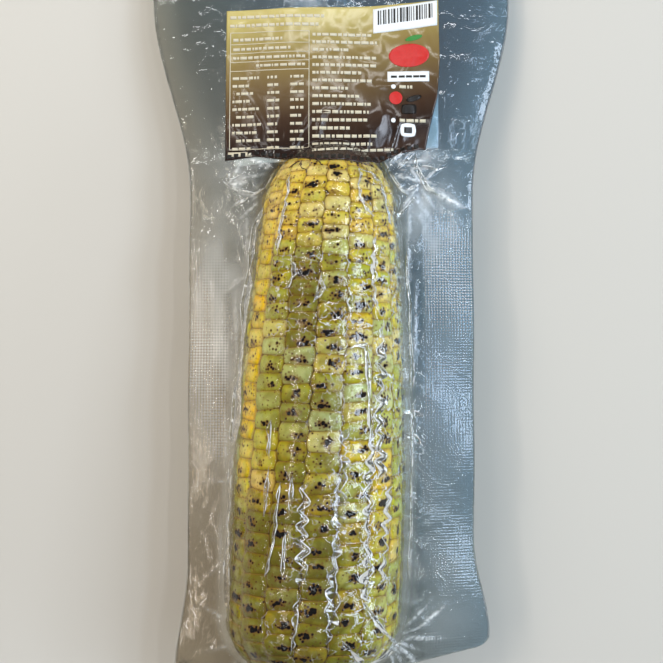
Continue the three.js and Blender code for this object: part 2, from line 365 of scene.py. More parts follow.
# Each kernel is a closed lump over its cell, the ground nearer to its middle than to any other. In a
# direction at angle c from a neighbour, the border is (half the way there - inset) / cos c off, and the
# neighbours are joined by a power mean, sum(r^-p)^(-1/p), which rounds the cell's corners.
def kernelLumps():
    across, along, otherRow, usable, radius = kernelNeighbours()
    theta = 2 * math.pi * (np.arange(kernels["directions"]) + 0.5) / kernels["directions"]
    boxy = lambda v: np.sign(v) * np.abs(v) ** 0.7
    halfWide = np.radians(rowAngle / 2) * radius[..., None]
    halfLong = (kernelEnds[:, 1:] - kernelEnds[:, :-1])[..., None] / 2
    ux, uy = halfWide * boxy(np.cos(theta)), halfLong * boxy(np.sin(theta))
    norm = np.hypot(ux, uy)
    ux, uy = ux / norm, uy / norm
    apart = np.hypot(across, along)
    cosine = (across[..., None] * ux + along[..., None] * uy) / apart[..., None]
    cosine = np.where(usable[..., None], np.maximum(cosine, 0), 0)
    power = kernels["corner"]
    reach, depth = [], []
    for inset in kernels["insets"]:
        half = np.maximum(apart / 2 - inset, 0.15)[..., None]
        terms = (cosine / half) ** power
        total = terms.sum(axis=0)
        reach.append(total ** (-1 / power))
        side = (terms * otherRow[:, None, None, None]).sum(axis=0) / total
        depth.append(lerp(kernels["crossGroove"], kernels["rowGroove"], side))
    edges = [np.full_like(reach[0], inset) for inset in kernels["insets"]]
    for share in kernels["shares"]:
        reach.append(reach[5] * share)
        depth.append(depth[5])
        edges.append(1.0 + (1 - share) * halfLong * np.ones_like(reach[5]) * 0.6)
    reach, depth, edges = (np.stack(v, axis=2) for v in (reach, depth, edges))
    return reach * ux[:, :, None], reach * uy[:, :, None], depth, edges


kernelTone = {
    "gold": 0.48,  # usual place between dull, 0, and golden, 1
    "goldPatch": 0.28,  # how far that drifts from patch to patch
    "goldSpread": 0.56,  # and from kernel to kernel
    "goldenMost": 0.82,  # at the tip and down the left side
    "milkyFrom": 0.85,  # lower makes more kernels milky
    "milkyTip": 0.3,
    "burn": 1.04,
    "burnSpread": 0.46,
    "burnButt": 0.44,
    "roastFlank": 0.5,
    "roastMiddle": 0.26,
    # towards the butt this is partly painted shade
    "buttRoastAndShade": 0.78,
}


# Gives every kernel its own look. Gold runs over the tip and down the left side, and the flank beside
# it is dull; every kernel then has its own share more or less, and some are milky pale. Each region is a
# bell curve in degrees round the cob times a smooth step along it.
def kernelLooks():
    tone = kernelTone
    y = np.interp(middleLength, profileLength, profileY)
    turn = cobTurn(middlePlace, y)
    degrees = (np.degrees(turn) + 180) % 360 - 180
    px, pz = np.sin(turn) * 22, np.cos(turn) * 22
    patch = valueNoise(px / 17 + 3, y / 22, pz / 17) + 0.5 * valueNoise(px / 8, y / 9 + 5, pz / 8)
    tip = smooth((y - 17) / 9)
    left = bell(degrees, -62, 20) * smooth((y + 48) / 24)
    flank = bell(degrees, -17, 28) * smooth((30 - y) / 14)
    middle = bell(degrees, 14, 28) * smooth((30 - y) / 20) * (1 - 0.7 * smooth((-20 - y) / 30))
    gold = tone["gold"] + tone["goldPatch"] * patch + tone["goldSpread"] * (kernelDraw(5) - 0.5) - 0.2 * flank
    gold = lerp(gold, tone["goldenMost"] + 0.3 * (kernelDraw(5) - 0.5), np.maximum(tip, left))
    pale = smooth(kernelDraw(6) * 2 - tone["milkyFrom"]) * (0.95 - 0.5 * left)
    pale = pale * (1 - 0.4 * smooth((-30 - y) / 40)) + tone["milkyTip"] * tip
    burn = tone["burn"] + tone["burnSpread"] * (2 * kernelDraw(21) - 1) + 0.22 * np.sin(turn) - 0.3 * left
    burn = burn + tone["burnButt"] * smooth((-20 - y) / 50) - 0.22 * smooth((y - 8) / 20)
    burn = burn + 0.3 * bell(degrees, -14, 22) * bell(y, 4, 24)
    # Juice and smoke have browned the dull flank and the middle. Towards the butt, most of all on the left, the
    # darkening is partly browning and partly painted shade.
    roast = flank * (tone["roastFlank"] + 0.26 * smooth((y + 20) / 20)) + tone["roastMiddle"] * middle
    roast = roast + smooth((-30 - y) / 45) * (tone["buttRoastAndShade"] - 0.46 * np.sin(turn))
    return gold, pale, burn, np.clip(roast * (1.12 - 0.6 * pale), 0, 1)


# Lays the lumps on the cob: a mm across is a mm round it, a mm along is a mm of profile, and relief goes
# down from the crown. A pole below and one above close each lump, and it carries its looks.
def makeKernels(name, rows, material):
    across, along, depth, edge = kernelLumps()
    across, along, depth, edge = across[rows], along[rows], depth[rows], edge[rows]
    count, directions = across.shape[0] * across.shape[1], across.shape[3]
    row, k = rowOf[rows][..., None, None], kernelOf[rows][..., None, None]
    relief = kernelRelief(edge, depth, across, along, row, k)
    foot = relief[:, :, :1] - kernels["wall"]
    across, along = np.concatenate([across[:, :, :1], across], 2), np.concatenate([along[:, :, :1], along], 2)
    relief = np.concatenate([foot, relief], 2)
    edge = np.concatenate([edge[:, :, :1], edge], 2)
    middleRelief = kernelRelief(3.0, 1.0, 0.0, 0.0, row, k)
    rings = across.shape[2]
    withPoles = lambda v, low, high: np.concatenate(
        [v.reshape(count, -1), np.broadcast_to(low, (count, 1)), np.broadcast_to(high, (count, 1))], 1
    )
    across, along, edge = withPoles(across, 0.0, 0.0), withPoles(along, 0.0, 0.0), withPoles(edge, 0.0, 3.0)
    relief = withPoles(relief, -kernels["foot"], middleRelief.reshape(count, 1))
    flat = lambda v: v[rows].reshape(count, 1)
    length = np.clip(flat(middleLength) + along, 0, cobLength)
    y = np.interp(length, profileLength, profileY)
    turn = cobTurn(flat(middlePlace) + np.degrees(across / radiusAt(flat(middleLength))) / rowAngle, y)
    wide = crownRadius(y)
    at = [wide * np.sin(turn), y, wide * np.cos(turn)]
    for height, size in kernels["bumps"]:
        relief = relief + height * valueNoise(*[v / size for v in at])
    points = cobPoints(np.maximum(wide + relief, 0.5), turn, y)
    # Scorch coordinates: 0 at the middle of the kernel's clump of blots, 1 at its reach.
    draw = lambda n: flat(kernelDraw(n))
    (spreadX, spreadY), ((leastX, moreX), (leastY, moreY)) = kernels["clumpSpread"], kernels["clumpReach"]
    clumpX = (across - spreadX * (draw(31) - 0.5)) / (leastX + moreX * draw(33))
    clumpY = (along + kernels["clumpLow"] - spreadY * (draw(32) - 0.5)) / (leastY + moreY * draw(34))
    maps = {"kernel": np.stack([across, along], -1), "scorch": np.stack([clumpX, clumpY], -1)}
    looks = dict(zip(("gold", "pale", "burn", "roast"), kernelLooks()), draw=kernelDraw(50))
    attributes = {key: np.broadcast_to(flat(value), across.shape) for key, value in looks.items()}
    attributes["edge"] = edge
    offset = (np.arange(count) * (rings * directions + 2))[:, None, None]
    groups = (gridQuads(rings, directions, joined=True), 4), (poleFans(rings, directions), 3)
    faces = [(group[None] + offset).reshape(-1, corners) for group, corners in groups]
    return addMesh(name, points.reshape(-1, 3), faces, material, maps, attributes)


coreForm = {
    "columns": 96,
    "rows": 150,
    "depth": 2.1,  # mm under the crowns
    "endRings": 14,
    "rimProud": 0.9,  # mm that the tough ring stands out and the pith lies in
    "roughness": 0.3,
}


# The woody core under the kernels, open to view only in the deepest corners and at both cut ends,
# where rings shrink to the middle: tough rim a little proud, pith sunk in.
def makeCore(material):
    columns, rows = coreForm["columns"], coreForm["rows"]
    length = np.linspace(0, cobLength, rows)[:, None]
    y = np.interp(length, profileLength, profileY)
    turn = cobTurn(np.linspace(0, rowCount, columns, endpoint=False)[None, :], y)
    radius = np.maximum(crownRadius(y) - coreForm["depth"], 1.0) + 0 * turn
    sides = np.stack([axisX(y) + radius * np.sin(turn), y + 0 * turn, axisZ(y) + radius * np.cos(turn)], -1)
    rings = [sides]
    shares = np.linspace(0.98, 0.08, coreForm["endRings"])[:, None]
    for end, outward in ((0, -1), (-1, 1)):
        aside, upward = np.sin(turn[end]), np.cos(turn[end])
        proud = coreForm["rimProud"] * (bell(shares, 0.62, 0.16) - (1 - shares))
        rough = coreForm["roughness"] * valueNoise(shares * 9, aside * 4, upward * 4)
        capY = y[end] + outward * (proud + rough - 0.2)
        reach = shares * radius[end]
        cap = np.stack([axisX(capY) + reach * aside, capY, axisZ(capY) + reach * upward], -1)
        rings = [cap[::-1]] + rings if outward < 0 else rings + [cap]
    grid = np.concatenate(rings)
    count = len(grid)
    points = np.concatenate([grid.reshape(-1, 3), grid[0].mean(axis=0)[None], grid[-1].mean(axis=0)[None]])
    across = np.concatenate([shares[::-1, 0], np.ones(rows), shares[:, 0]])
    attributes = {"across": np.concatenate([np.repeat(across, columns), [0, 0]])}
    faces = [gridQuads(count, columns, joined=True), poleFans(count, columns)]
    return addMesh("core", points, faces, material, attributes=attributes)


cornForm = {
    # Base colour by gold, from dull to golden, and what milky kernels lean to.
    "hues": [(0.0, "#989f46"), (0.28, "#a9ae32"), (0.52, "#c1ba20"), (0.75, "#dac01e"), (1.0, "#e6bc14")],
    "milk": [(0.3, "#bac796"), (0.9, "#e4d18c")],
    "subsurface": 0.3,
    "subsurfaceDepth": 0.0012,  # metres
    "dotScale": 0.98,  # dots per mm
    "wrinkleDepth": 0.0002,  # metres
    # Noises: lumps per mm, detail and harshness.
    "noises": {
        "mottle": (0.45, 2.0, 0.5),
        "shade": (0.3, 1.0, 0.5),
        "fray": (2.0, 2.0, 0.6),
        "wrinkle": (1.6, 2.0, 0.5),
    },
    # Layers over it: what drives each, its range, the share at both ends, and its colour.
    "layers": [
        ("edge", 0.5, 2.0, 0.0, 0.28, "#cfd09a"),
        # random olive patches that stand in for shade inside the kernels: painted shade
        ("shade", 0.45, 0.68, 0.0, 0.42, "#85791a"),
        ("edge", 0.1, 0.8, 0.2, 0.0, "#b0921c"),
        # browning, and towards the butt partly painted shade
        ("roast", 0.0, 1.0, 0.0, 0.82, "#6a610d"),
        ("edge", 0.1, 1.1, 0.26, 0.0, "#8c6c20"),
        ("edge", 0.0, 0.2, 0.55, 0.0, "#ac8232"),
        ("singed", 0.6, 1.35, 0.0, 0.55, "#86642a"),
        ("charred", -0.1, 0.56, 0.0, 0.76, "#7c5226"),
        ("charred", 0.34, 0.62, 0.0, 0.95, "#42241a"),
        ("charred", 0.54, 0.72, 0.0, 1.0, "#080302"),
    ],
}


# Grilled sweetcorn: thin moist skins over milky, slightly see-through flesh, brown only in the very
# groove, with scorched dots whose black middles fade through purple-brown. Film lies wet on it, so it
# has little shine of its own.
def cornMaterial():
    material, tree = newMaterial("grilledSweetcorn")
    names = ("edge", "gold", "pale", "burn", "roast", "draw")
    read = {name: addNode(tree, "Attribute", {"attribute_name": name}).outputs["Fac"] for name in names}
    # Millimetres on the kernel, with each kernel's own slice of the noise.
    flat = addNode(tree, "SeparateXYZ", None, {0: addNode(tree, "UVMap", {"uv_map": "kernel"})})
    seed = addNode(tree, "Math", {"operation": "MULTIPLY", 1: 91.0}, {0: read["draw"]})
    onKernel = addNode(tree, "CombineXYZ", None, {0: flat.outputs[0], 1: flat.outputs[1], 2: seed})
    noises = {}
    for name, (scale, detail, harshness) in cornForm["noises"].items():
        settings = {"Scale": scale, "Detail": detail, "Roughness": harshness}
        noises[name] = addNode(tree, "TexNoise", settings, {"Vector": onKernel})
    shade = noises["shade"]
    mottle = addNode(tree, "MapRange", {"From Min": 0.3, "From Max": 0.7}, {"Value": noises["mottle"]})
    hue = addNode(tree, "Math", {"operation": "MULTIPLY_ADD", 1: 0.4}, {0: mottle, 2: read["gold"]})
    hue = addNode(tree, "Math", {"operation": "SUBTRACT", 1: 0.2}, {0: hue})
    base = addNode(tree, "ValToRGB", {"stops": cornForm["hues"]}, {"Fac": hue})
    milk = addNode(tree, "ValToRGB", {"stops": cornForm["milk"]}, {"Fac": read["gold"]})
    pale = addNode(tree, "Math", {"operation": "MULTIPLY_ADD", 1: 0.5, 2: 0.5}, {0: mottle})
    pale = addNode(tree, "Math", {"operation": "MULTIPLY"}, {0: pale, 1: read["pale"]})
    base = addNode(tree, "MixRGB", None, {0: pale, 1: base, 2: milk})
    # Scorch: dots thick in the middle of the clump and thin outside it, each with its own strength.
    scorch = addNode(tree, "UVMap", {"uv_map": "scorch"})
    reach = addNode(tree, "VectorMath", {"operation": "LENGTH"}, {0: scorch}).outputs[1]
    eased = {"interpolation_type": "SMOOTHSTEP"}
    clump = addNode(tree, "MapRange", {**eased, "From Max": 1.7, "To Min": 1.0, "To Max": 0.0}, {"Value": reach})
    clump = addNode(tree, "Math", {"operation": "MULTIPLY"}, {0: clump, 1: read["burn"]})
    singed = addNode(tree, "Math", {"operation": "MULTIPLY_ADD", 1: 0.8}, {0: shade, 2: clump})
    settings = {"feature": "SMOOTH_F1", "Scale": cornForm["dotScale"], "Smoothness": 0.25, "Randomness": 1.0}
    dots = addNode(tree, "TexVoronoi", settings, {"Vector": onKernel})
    own = addNode(tree, "SeparateXYZ", None, {0: dots.outputs["Color"]})
    charred = clump
    for share, source in ((-1.9, dots.outputs["Distance"]), (0.7, own.outputs[0]), (0.45, noises["fray"])):
        charred = addNode(tree, "Math", {"operation": "MULTIPLY_ADD", 1: share}, {0: source, 2: charred})
    settings = {"From Min": 0.38, "From Max": 0.62, "To Min": 0.7, "To Max": 1.12}
    mottled = addNode(tree, "MapRange", settings, {"Value": shade})
    roast = addNode(tree, "Math", {"operation": "MULTIPLY"}, {0: mottled, 1: read["roast"]})
    drivers = {"edge": read["edge"], "shade": shade, "roast": roast, "singed": singed, "charred": charred}
    for driver, low, high, least, most, hexCode in cornForm["layers"]:
        settings = {**eased, "From Min": low, "From Max": high, "To Min": least, "To Max": most}
        amount = addNode(tree, "MapRange", settings, {"Value": drivers[driver]})
        base = addNode(tree, "MixRGB", {2: colour(hexCode)}, {0: amount, 1: base})
    settings = {"Strength": 0.5, "Distance": cornForm["wrinkleDepth"]}
    bump = addNode(tree, "Bump", settings, {"Height": noises["wrinkle"]})
    settings = {
        "Roughness": 0.5,
        "IOR": 1.4,
        "Specular IOR Level": 0.1,
        "Subsurface Weight": cornForm["subsurface"],
        "Subsurface Radius": [1.0, 0.7, 0.25],
        "Subsurface Scale": cornForm["subsurfaceDepth"],
    }
    shader = addNode(tree, "BsdfPrincipled", settings, {"Base Color": base, "Normal": bump})
    addNode(tree, "OutputMaterial", None, {"Surface": shader})
    return material


# Cut corn cob: spongy off-white pith, a tough straw ring round it, and brown chaff at the rim.
def coreMaterial():
    material, tree = newMaterial("cutCobWood")
    place = addNode(tree, "TexCoord").outputs["Object"]
    across = addNode(tree, "Attribute", {"attribute_name": "across"}).outputs["Fac"]
    grain = addNode(tree, "TexNoise", {"Scale": 1 / 0.0016, "Detail": 3.0}, {"Vector": place})  # 1.6 mm pores
    ring = addNode(tree, "Math", {"operation": "MULTIPLY_ADD", 1: 0.3}, {0: grain, 2: across})
    ring = addNode(tree, "Math", {"operation": "SUBTRACT", 1: 0.12}, {0: ring})
    pith = [(0.3, "#cdbf8f"), (0.52, "#bcab73"), (0.62, "#8f7b43")]
    stops = pith + [(0.74, "#c0ac6c"), (0.95, "#a8924f"), (1.0, "#6d572a")]
    base = addNode(tree, "ValToRGB", {"stops": stops}, {"Fac": ring})
    bump = addNode(tree, "Bump", {"Strength": 0.7, "Distance": 0.0004}, {"Height": grain})
    shader = addNode(tree, "BsdfPrincipled", {"Roughness": 0.7}, {"Base Color": base, "Normal": bump})
    addNode(tree, "OutputMaterial", None, {"Surface": shader})
    return material


cornSkin = cornMaterial()
for name, rows in (("evenKernels", slice(0, None, 2)), ("oddKernels", slice(1, None, 2))):
    piece = makeKernels(name, rows, cornSkin)
    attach(piece, "root")
    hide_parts("cob")
core = makeCore(coreMaterial())
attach(core, "root")


angleSteps, lengthSteps = 288, 320  # of the even grid round the cob
softness = 0.3  # mm over which borders run into each other on it
cobPlaces = rowCount * np.arange(angleSteps) / angleSteps
cobLengths = np.linspace(0, cobLength, lengthSteps + 1)


# The kernels' relief again on an even grid round the cob, for the film to lie on: the distance to each
# border is the difference of two squared distances over twice the way between the middles, and the
# smallest is taken softly, as -s log(sum exp(-d / s)).
def kernelField():
    radius = radiusAt(cobLengths)[:, None]
    baseRow = np.floor(cobPlaces).astype(int)[None, :]
    found = np.array([np.searchsorted(kernelEnds[r][1:-1], cobLengths) for r in range(rowCount)])
    across, along, rows, ks, steps = [], [], [], [], []
    for rowStep in (-1, 0, 1):
        row = (baseRow + rowStep) % rowCount
        near = found[row[0]].T
        for kernelStep in (-1, 0, 1):
            k = np.clip(near + kernelStep, 0, perRow - 1)
            aside = cobPlaces[None, :] - (middlePlace[row, k] - row + baseRow + rowStep)
            across.append(np.radians(aside * rowAngle) * radius)
            along.append(cobLengths[:, None] - middleLength[row, k])
            rows.append(np.broadcast_to(row, k.shape))
            ks.append(k)
            steps.append(np.full(k.shape, rowStep))
    across, along, rows, ks, steps = (np.array(v) for v in (across, along, rows, ks, steps))
    squared = across**2 + along**2
    own = np.argmin(squared, axis=0)[None]
    pick = lambda values: np.take_along_axis(values, own, axis=0)[0]
    apart = np.hypot(across - pick(across), along - pick(along))
    border = np.where(apart > 0.5, (squared - pick(squared)) / (2 * np.maximum(apart, 0.5)), 99.0)
    otherRow = steps != pick(steps)
    weight = np.exp(-np.minimum(border, 30) / softness)
    total = np.maximum(weight.sum(axis=0), 1e-12)
    depth = (weight * np.where(otherRow, kernels["rowGroove"], kernels["crossGroove"])).sum(0) / total
    edge = np.maximum(-softness * np.log(total), 0)
    return kernelRelief(edge, depth, pick(across), pick(along), pick(rows), pick(ks))


relief = kernelField()
print("relief under the film:", relief.shape)

bagForm = {
    "halfLength": 114.3,
    "halfWidth": 55.0,
    "pulledIn": 12.0,
    "bottomEdge": -107.0,
    "bottomSlope": 0.187,
    "slantFrom": -50.0,
    "corner": 4.0,
    "slope": 3.0,  # how steeply film falls from the cob to the weld
    "sideHeight": 0.92,
    "tipHeight": 18.0,
    "farHeight": 5.5,
    "droopLength": 42.0,
    "weldGap": 0.15,  # mm from the weld's middle to each film
    "bend": 0.7,  # mm over which film turns from the cob to the weld
    "snugness": 0.85,  # share of a groove's depth that the film is sucked into
    "closing": 4,  # steps of the cob's grid; narrower grooves are closed over before that
    "clearance": 0.1,  # mm off the kernels
    "innerShare": 0.74,  # share of the half width that has fine columns
    "innerColumns": 140,
    "outerColumns": 16,
    "rows": 382,
}


# Half the bag's width: drawn in beside the cob, and rounded off at the corners by a quarter circle.
def halfWidth(y):
    drawn = smooth((100 - y) / 60) * (1 - 0.4 * smooth((-70 - y) / 40))
    into = np.clip((np.abs(y) - bagForm["halfLength"]) / bagForm["corner"] + 1, 0, 1)
    return bagForm["halfWidth"] - bagForm["pulledIn"] * drawn - bagForm["corner"] * (1 - np.sqrt(1 - into**2))


# Distance in plan from the cob's outline, 0 inside it.
def outside(x, y):
    near = besideCob(y)
    return np.hypot(np.maximum(np.abs(x - axisX(near)) - crownRadius(near), 0), y - near)


# Height of the weld: level with the cob's axis, drooping by a bell curve away from it, with soft sine waves.
def weldZ(x, y):
    near = besideCob(y)
    d = outside(x, y)
    towardsTip = smooth((y - 25) / (cobForm["tipY"] - 25))
    beside = lerp(bagForm["sideHeight"] * axisZ(near), bagForm["tipHeight"], towardsTip)
    droop = bell(d, 0, bagForm["droopLength"])
    sideWave = 1.1 * np.sin(y / 6.5 + x / 30) * smooth((d - 6) / 14) * (1 - towardsTip)
    headerWave = 1.1 * np.sin(x / 8 + y / 45 + 0.6) * smooth((d - 2) / 12) * towardsTip
    return lerp(bagForm["farHeight"], beside, droop) + sideWave + headerWave


# Columns crowd over the cob: equal steps inside innerShare, wider equal steps outside it.
innerShares = np.linspace(-bagForm["innerShare"], bagForm["innerShare"], bagForm["innerColumns"] + 1)
outerShares = np.linspace(bagForm["innerShare"], 1, bagForm["outerColumns"] + 1)[1:]
columnShares = np.concatenate([-outerShares[::-1], innerShares, outerShares])
rowYs = np.linspace(-bagForm["halfLength"], bagForm["halfLength"], bagForm["rows"] + 1)
planX = columnShares[None, :] * halfWidth(rowYs)[:, None]
edgeY = bagForm["bottomEdge"] + bagForm["bottomSlope"] * (planX - axisX(bagForm["bottomEdge"]))
slant = np.clip((bagForm["slantFrom"] - rowYs) / (bagForm["halfLength"] + bagForm["slantFrom"]), 0, 1)[:, None]
planY = np.where(slant > 0, lerp(bagForm["slantFrom"], edgeY, slant), rowYs[:, None])
print("plan grid:", planX.shape)


# Film over the cob, relief in mm: the grooves closed over, blended with the kernels' own relief, softened,
# and kept off the kernels.
def filmRelief():
    closed = -slidingMax(-slidingMax(relief, bagForm["closing"]), bagForm["closing"])
    film = softened(lerp(closed, relief, bagForm["snugness"]), 1)
    return np.maximum(film, relief + bagForm["clearance"])


coverRelief = filmRelief()


# Reads a field of the cob's grid at any angle, in degrees, and any length along the profile.
def sampleCob(field, angle, length):
    i = ((angle - kernels["firstAngle"]) / 360 * angleSteps) % angleSteps
    j = np.clip(length / cobLength * lengthSteps, 0, lengthSteps - 1e-6)
    return blendAt(field, j, i)


# Height of the film above (side 1) or below (side -1) the cob's axis where it touches the cob:
# sqrt((radius + relief)^2 - dx^2), and far down where it doesn't.
def touchingRise(side):
    y = besideCob(planY)
    dx = planX - axisX(y)
    radius = crownRadius(y) + 0.2
    angle = np.degrees(np.arcsin(np.clip(dx / radius, -1, 1)))
    angle = angle if side > 0 else 180 - angle
    length = np.interp(y, profileY, profileLength)
    full = radius + sampleCob(coverRelief, angle - kernels["helix"] * (y - kernels["helixY"]), length)
    over = (full**2 - dx**2 > 0) & (planY >= cobForm["buttY"]) & (planY <= cobForm["tipY"])
    return np.where(over, np.sqrt(np.maximum(full**2 - dx**2, 0)), -60.0)


# Film can't fall faster than the slope: each point is raised to its neighbours less slope times distance,
# again and again, until that has spread far enough.
def slopeLimited(height, slope, times=26):
    steps = [(1, 0), (-1, 0), (0, 1), (0, -1), (1, 1), (1, -1), (-1, 1), (-1, -1)]
    shifted = lambda v, step: np.roll(v, step, axis=(0, 1))
    drops = [slope * np.hypot(planX - shifted(planX, s), planY - shifted(planY, s)) for s in steps]
    for _ in range(times):
        height = np.max([height] + [shifted(height, s) - drop for s, drop in zip(steps, drops)], axis=0)
    return height


# Smooth maximum: half of a + b + sqrt((a - b)^2 + s^2).
def softMax(a, b, s):
    return 0.5 * (a + b + np.sqrt((a - b) ** 2 + s * s))


# One crease is a ridge along a bent line: height * exp(-|v| / width), where u runs along it and v across,
# fading in and out over its length.
def creaseHeights(creases):
    total = np.zeros_like(planX)
    for x0, y0, heading, length, bend, height, width in creases:
        c, s = math.cos(math.radians(heading)), math.sin(math.radians(heading))
        u = (planX - x0) * c + (planY - y0) * s
        v = -(planX - x0) * s + (planY - y0) * c - bend * u * u / length
        fade = smooth(u / (0.25 * length) + 0.3) * smooth((length - u) / (0.6 * length)) * (u > -3)
        total = np.maximum(total, height * fade * np.exp(-np.abs(v) / width))
    return total


# Creases fan out from the shoulders of both ends, stand across the film beside the cob and run along its
# foot. Stars of folds lie where the shoulders are pinched.
def bagCreases():
    rng = np.random.default_rng(11)
    draw = lambda *ranges: [rng.uniform(low, high) for low, high in ranges]
    creases = []
    # Each fan: its middle, the headings it opens between, and how many creases it has.
    for x0, y0, low, high, count in (
        (-15.0, 46.0, 105, 235, 12),
        (15.0, 46.0, -55, 75, 12),
        (-21.0, -93.0, 150, 265, 9),
        (17.0, -93.0, 275, 395, 9),
    ):
        for heading in np.linspace(low, high, count):
            away = math.radians(heading)
            reach, turned, *form = draw((1.5, 5), (-12, 12), (8, 24), (-0.25, 0.25), (0.3, 1.1), (0.45, 1.0))
            x, y = x0 + reach * math.cos(away), y0 + reach * math.sin(away)
            creases.append((x, y, heading + turned, *form))
    for side in (-1, 1):
        for y0 in np.arange(-84, 40, 6.5):
            y0 = y0 + rng.uniform(-2.5, 2.5)
            x0 = float(axisX(y0) + side * (crownRadius(y0) + 0.5))
            lean, *form = draw((-55, 55), (4, 13), (-0.3, 0.3), (0.12, 0.5), (0.4, 0.8))
            creases.append((x0, y0, lean if side > 0 else 180 + lean, *form))
        for y0 in (-78, -45, -12, 16):
            aside, length = draw((1.8, 3.4), (22, 36))
            x0 = float(axisX(y0) + side * (crownRadius(y0) + aside))
            creases.append((x0, y0, 90 - side * 2, length, 0.01 * side, 0.5, 0.7))
    # Each star: its middle, then heading, length, height and width of its rays.
    pinched = [(124, 16, 0.8, 0.6), (88, 8, 0.5, 0.5), (41, 13, 0.7, 0.5), (-4, 9, 0.4, 0.7), (-31, 21, 1.0, 1.1)]
    for x0, y0, rays in (
        (26.9, 42.7, pinched),
        (26.4, 42.0, [(-60, 11, 0.5, 0.6), (202, 9, 0.7, 0.5), (231, 15, 0.8, 0.6)]),
        (-31.5, 42.0, [(8, 9, 0.8, 0.7), (-24, 14, 0.9, 0.9), (57, 12, 0.7, 0.7)]),
        (15.9, -91.5, [(-58, 12, 0.9, 0.8)]),
    ):
        creases += [(x0, y0, heading, length, 0.05, height, width) for heading, length, height, width in rays]
    creases.append((25.5, -90.7, 40, 14, 0.0, 0.9, 0.8))
    return creases


# Ridged noise: 1 - |n|, which has sharp crests like crumpled film.
def ridged(x, y):
    return 1 - np.abs(valueNoise(x, y))


weld = weldZ(planX, planY)
away = outside(planX, planY)
loose = smooth((away - 0.5) / 3)
creaseZ = creaseHeights(bagCreases())
# Crumple: coarse and fine ridges in mm, on a plan bent by noise so that none runs straight, highest beside
# the cob and in the header.
bentX = planX + 2.2 * valueNoise(planX / 7.7, planY / 9.1, 4.0)
bentY = planY + 2.2 * valueNoise(planX / 8.3, planY / 7.9, 8.0)
crumple = 0.5 * ridged(bentX / 6.4 + 7, bentY / 9.6) ** 4 + 0.22 * ridged(bentX / 3.1, bentY / 4.1 + 3) ** 3
crumple = crumple * (0.25 + 0.75 * bell(away, 0, 10) + 0.5 * smooth((planY - 20) / 30))
# Film lies on the cob or runs to the weld, whichever is further out, then takes on creases where it is loose.
middleZ = axisZ(besideCob(planY))
nearRise = slopeLimited(touchingRise(1), bagForm["slope"])
farRise = slopeLimited(touchingRise(-1), bagForm["slope"])
nearZ = softMax(middleZ + nearRise, weld + bagForm["weldGap"], bagForm["bend"])
farZ = -softMax(farRise - middleZ, bagForm["weldGap"] - weld, bagForm["bend"])
farZ = np.maximum(farZ, -0.12)
fromSide = (1 - np.abs(columnShares))[None, :] * (bagForm["halfWidth"] - bagForm["pulledIn"])
rim = smooth(np.minimum(fromSide, (bagForm["halfLength"] - np.abs(rowYs))[:, None]) / 2)
nearZ = nearZ + (creaseZ + crumple) * loose * rim
farZ = farZ + (0.6 * creaseZ + crumple) * loose * rim * 0.5
farZ = np.minimum(farZ, nearZ - 0.08)
print("film heights done")

# How much juice has left dry patches under the film, most of all down the right side, which also places the
# painted rim highlights, and the film's gap to the kernels as a share of 0.4 mm. overX runs from -1 to 1 across
# the cob.
overX = (planX - axisX(besideCob(planY))) / cobForm["radius"]
beads = 0.3 + 0.5 * valueNoise(planX / 9 + 4, planY / 14) + 0.85 * bell(overX, 0.64, 0.22)
beads = np.clip(beads, 0, 1) * (1 - 0.4 * smooth((planY - 8) / 20))
beads = beads * (1 - smooth((away - 0.5) / 2)) * (1 - 0.8 * smooth((-overX - 0.5) / 0.2))
nearestRadius = crownRadius(np.clip(planY, cobForm["buttY"], cobForm["tipY"] - 0.1))
overAngle = np.degrees(np.arcsin(np.clip(overX * cobForm["radius"] / nearestRadius, -1, 1)))
overAngle = overAngle - kernels["helix"] * (planY - kernels["helixY"])
gap = sampleCob(coverRelief - relief, overAngle, np.interp(planY, profileY, profileLength)) / 0.4
gap = np.clip(gap, 0, 1) * (1 - smooth(away / 1))


# Painted sheen: patches of whitened film that stand in for reflections and brighter film: (x, y, reach across,
# reach along, strength).
sheenPatches = [
    (-34, 0, 9, 44, 0.26),
    (-25, 28, 3, 16, 0.1),
    (-30, 48, 8, 5, 0.04),
    (33, 30, 8, 13, 0.13),
    (25, 33, 5, 9, 0.14),
    (26, -22, 4, 12, 0.05),
    (32, -88, 9, 7, 0.08),
    (31, 37, 5, 5, 0.12),
    (29, 51, 4, 4, 0.16),
    (-30, 45, 5, 1.8, 0.14),
]


# Each patch is a bell curve both ways; together they fade out over the cob and are a little mottled.
def paintedSheen():
    total = np.zeros_like(planX)
    for x, y, wide, long, strength in sheenPatches:
        total += strength * bell(planX, x, wide) * bell(planY, y, long)
    return total * smooth((away - 0.8) / 2) * (0.8 + 0.35 * valueNoise(planX / 3.1, planY / 7.3, 2.0))


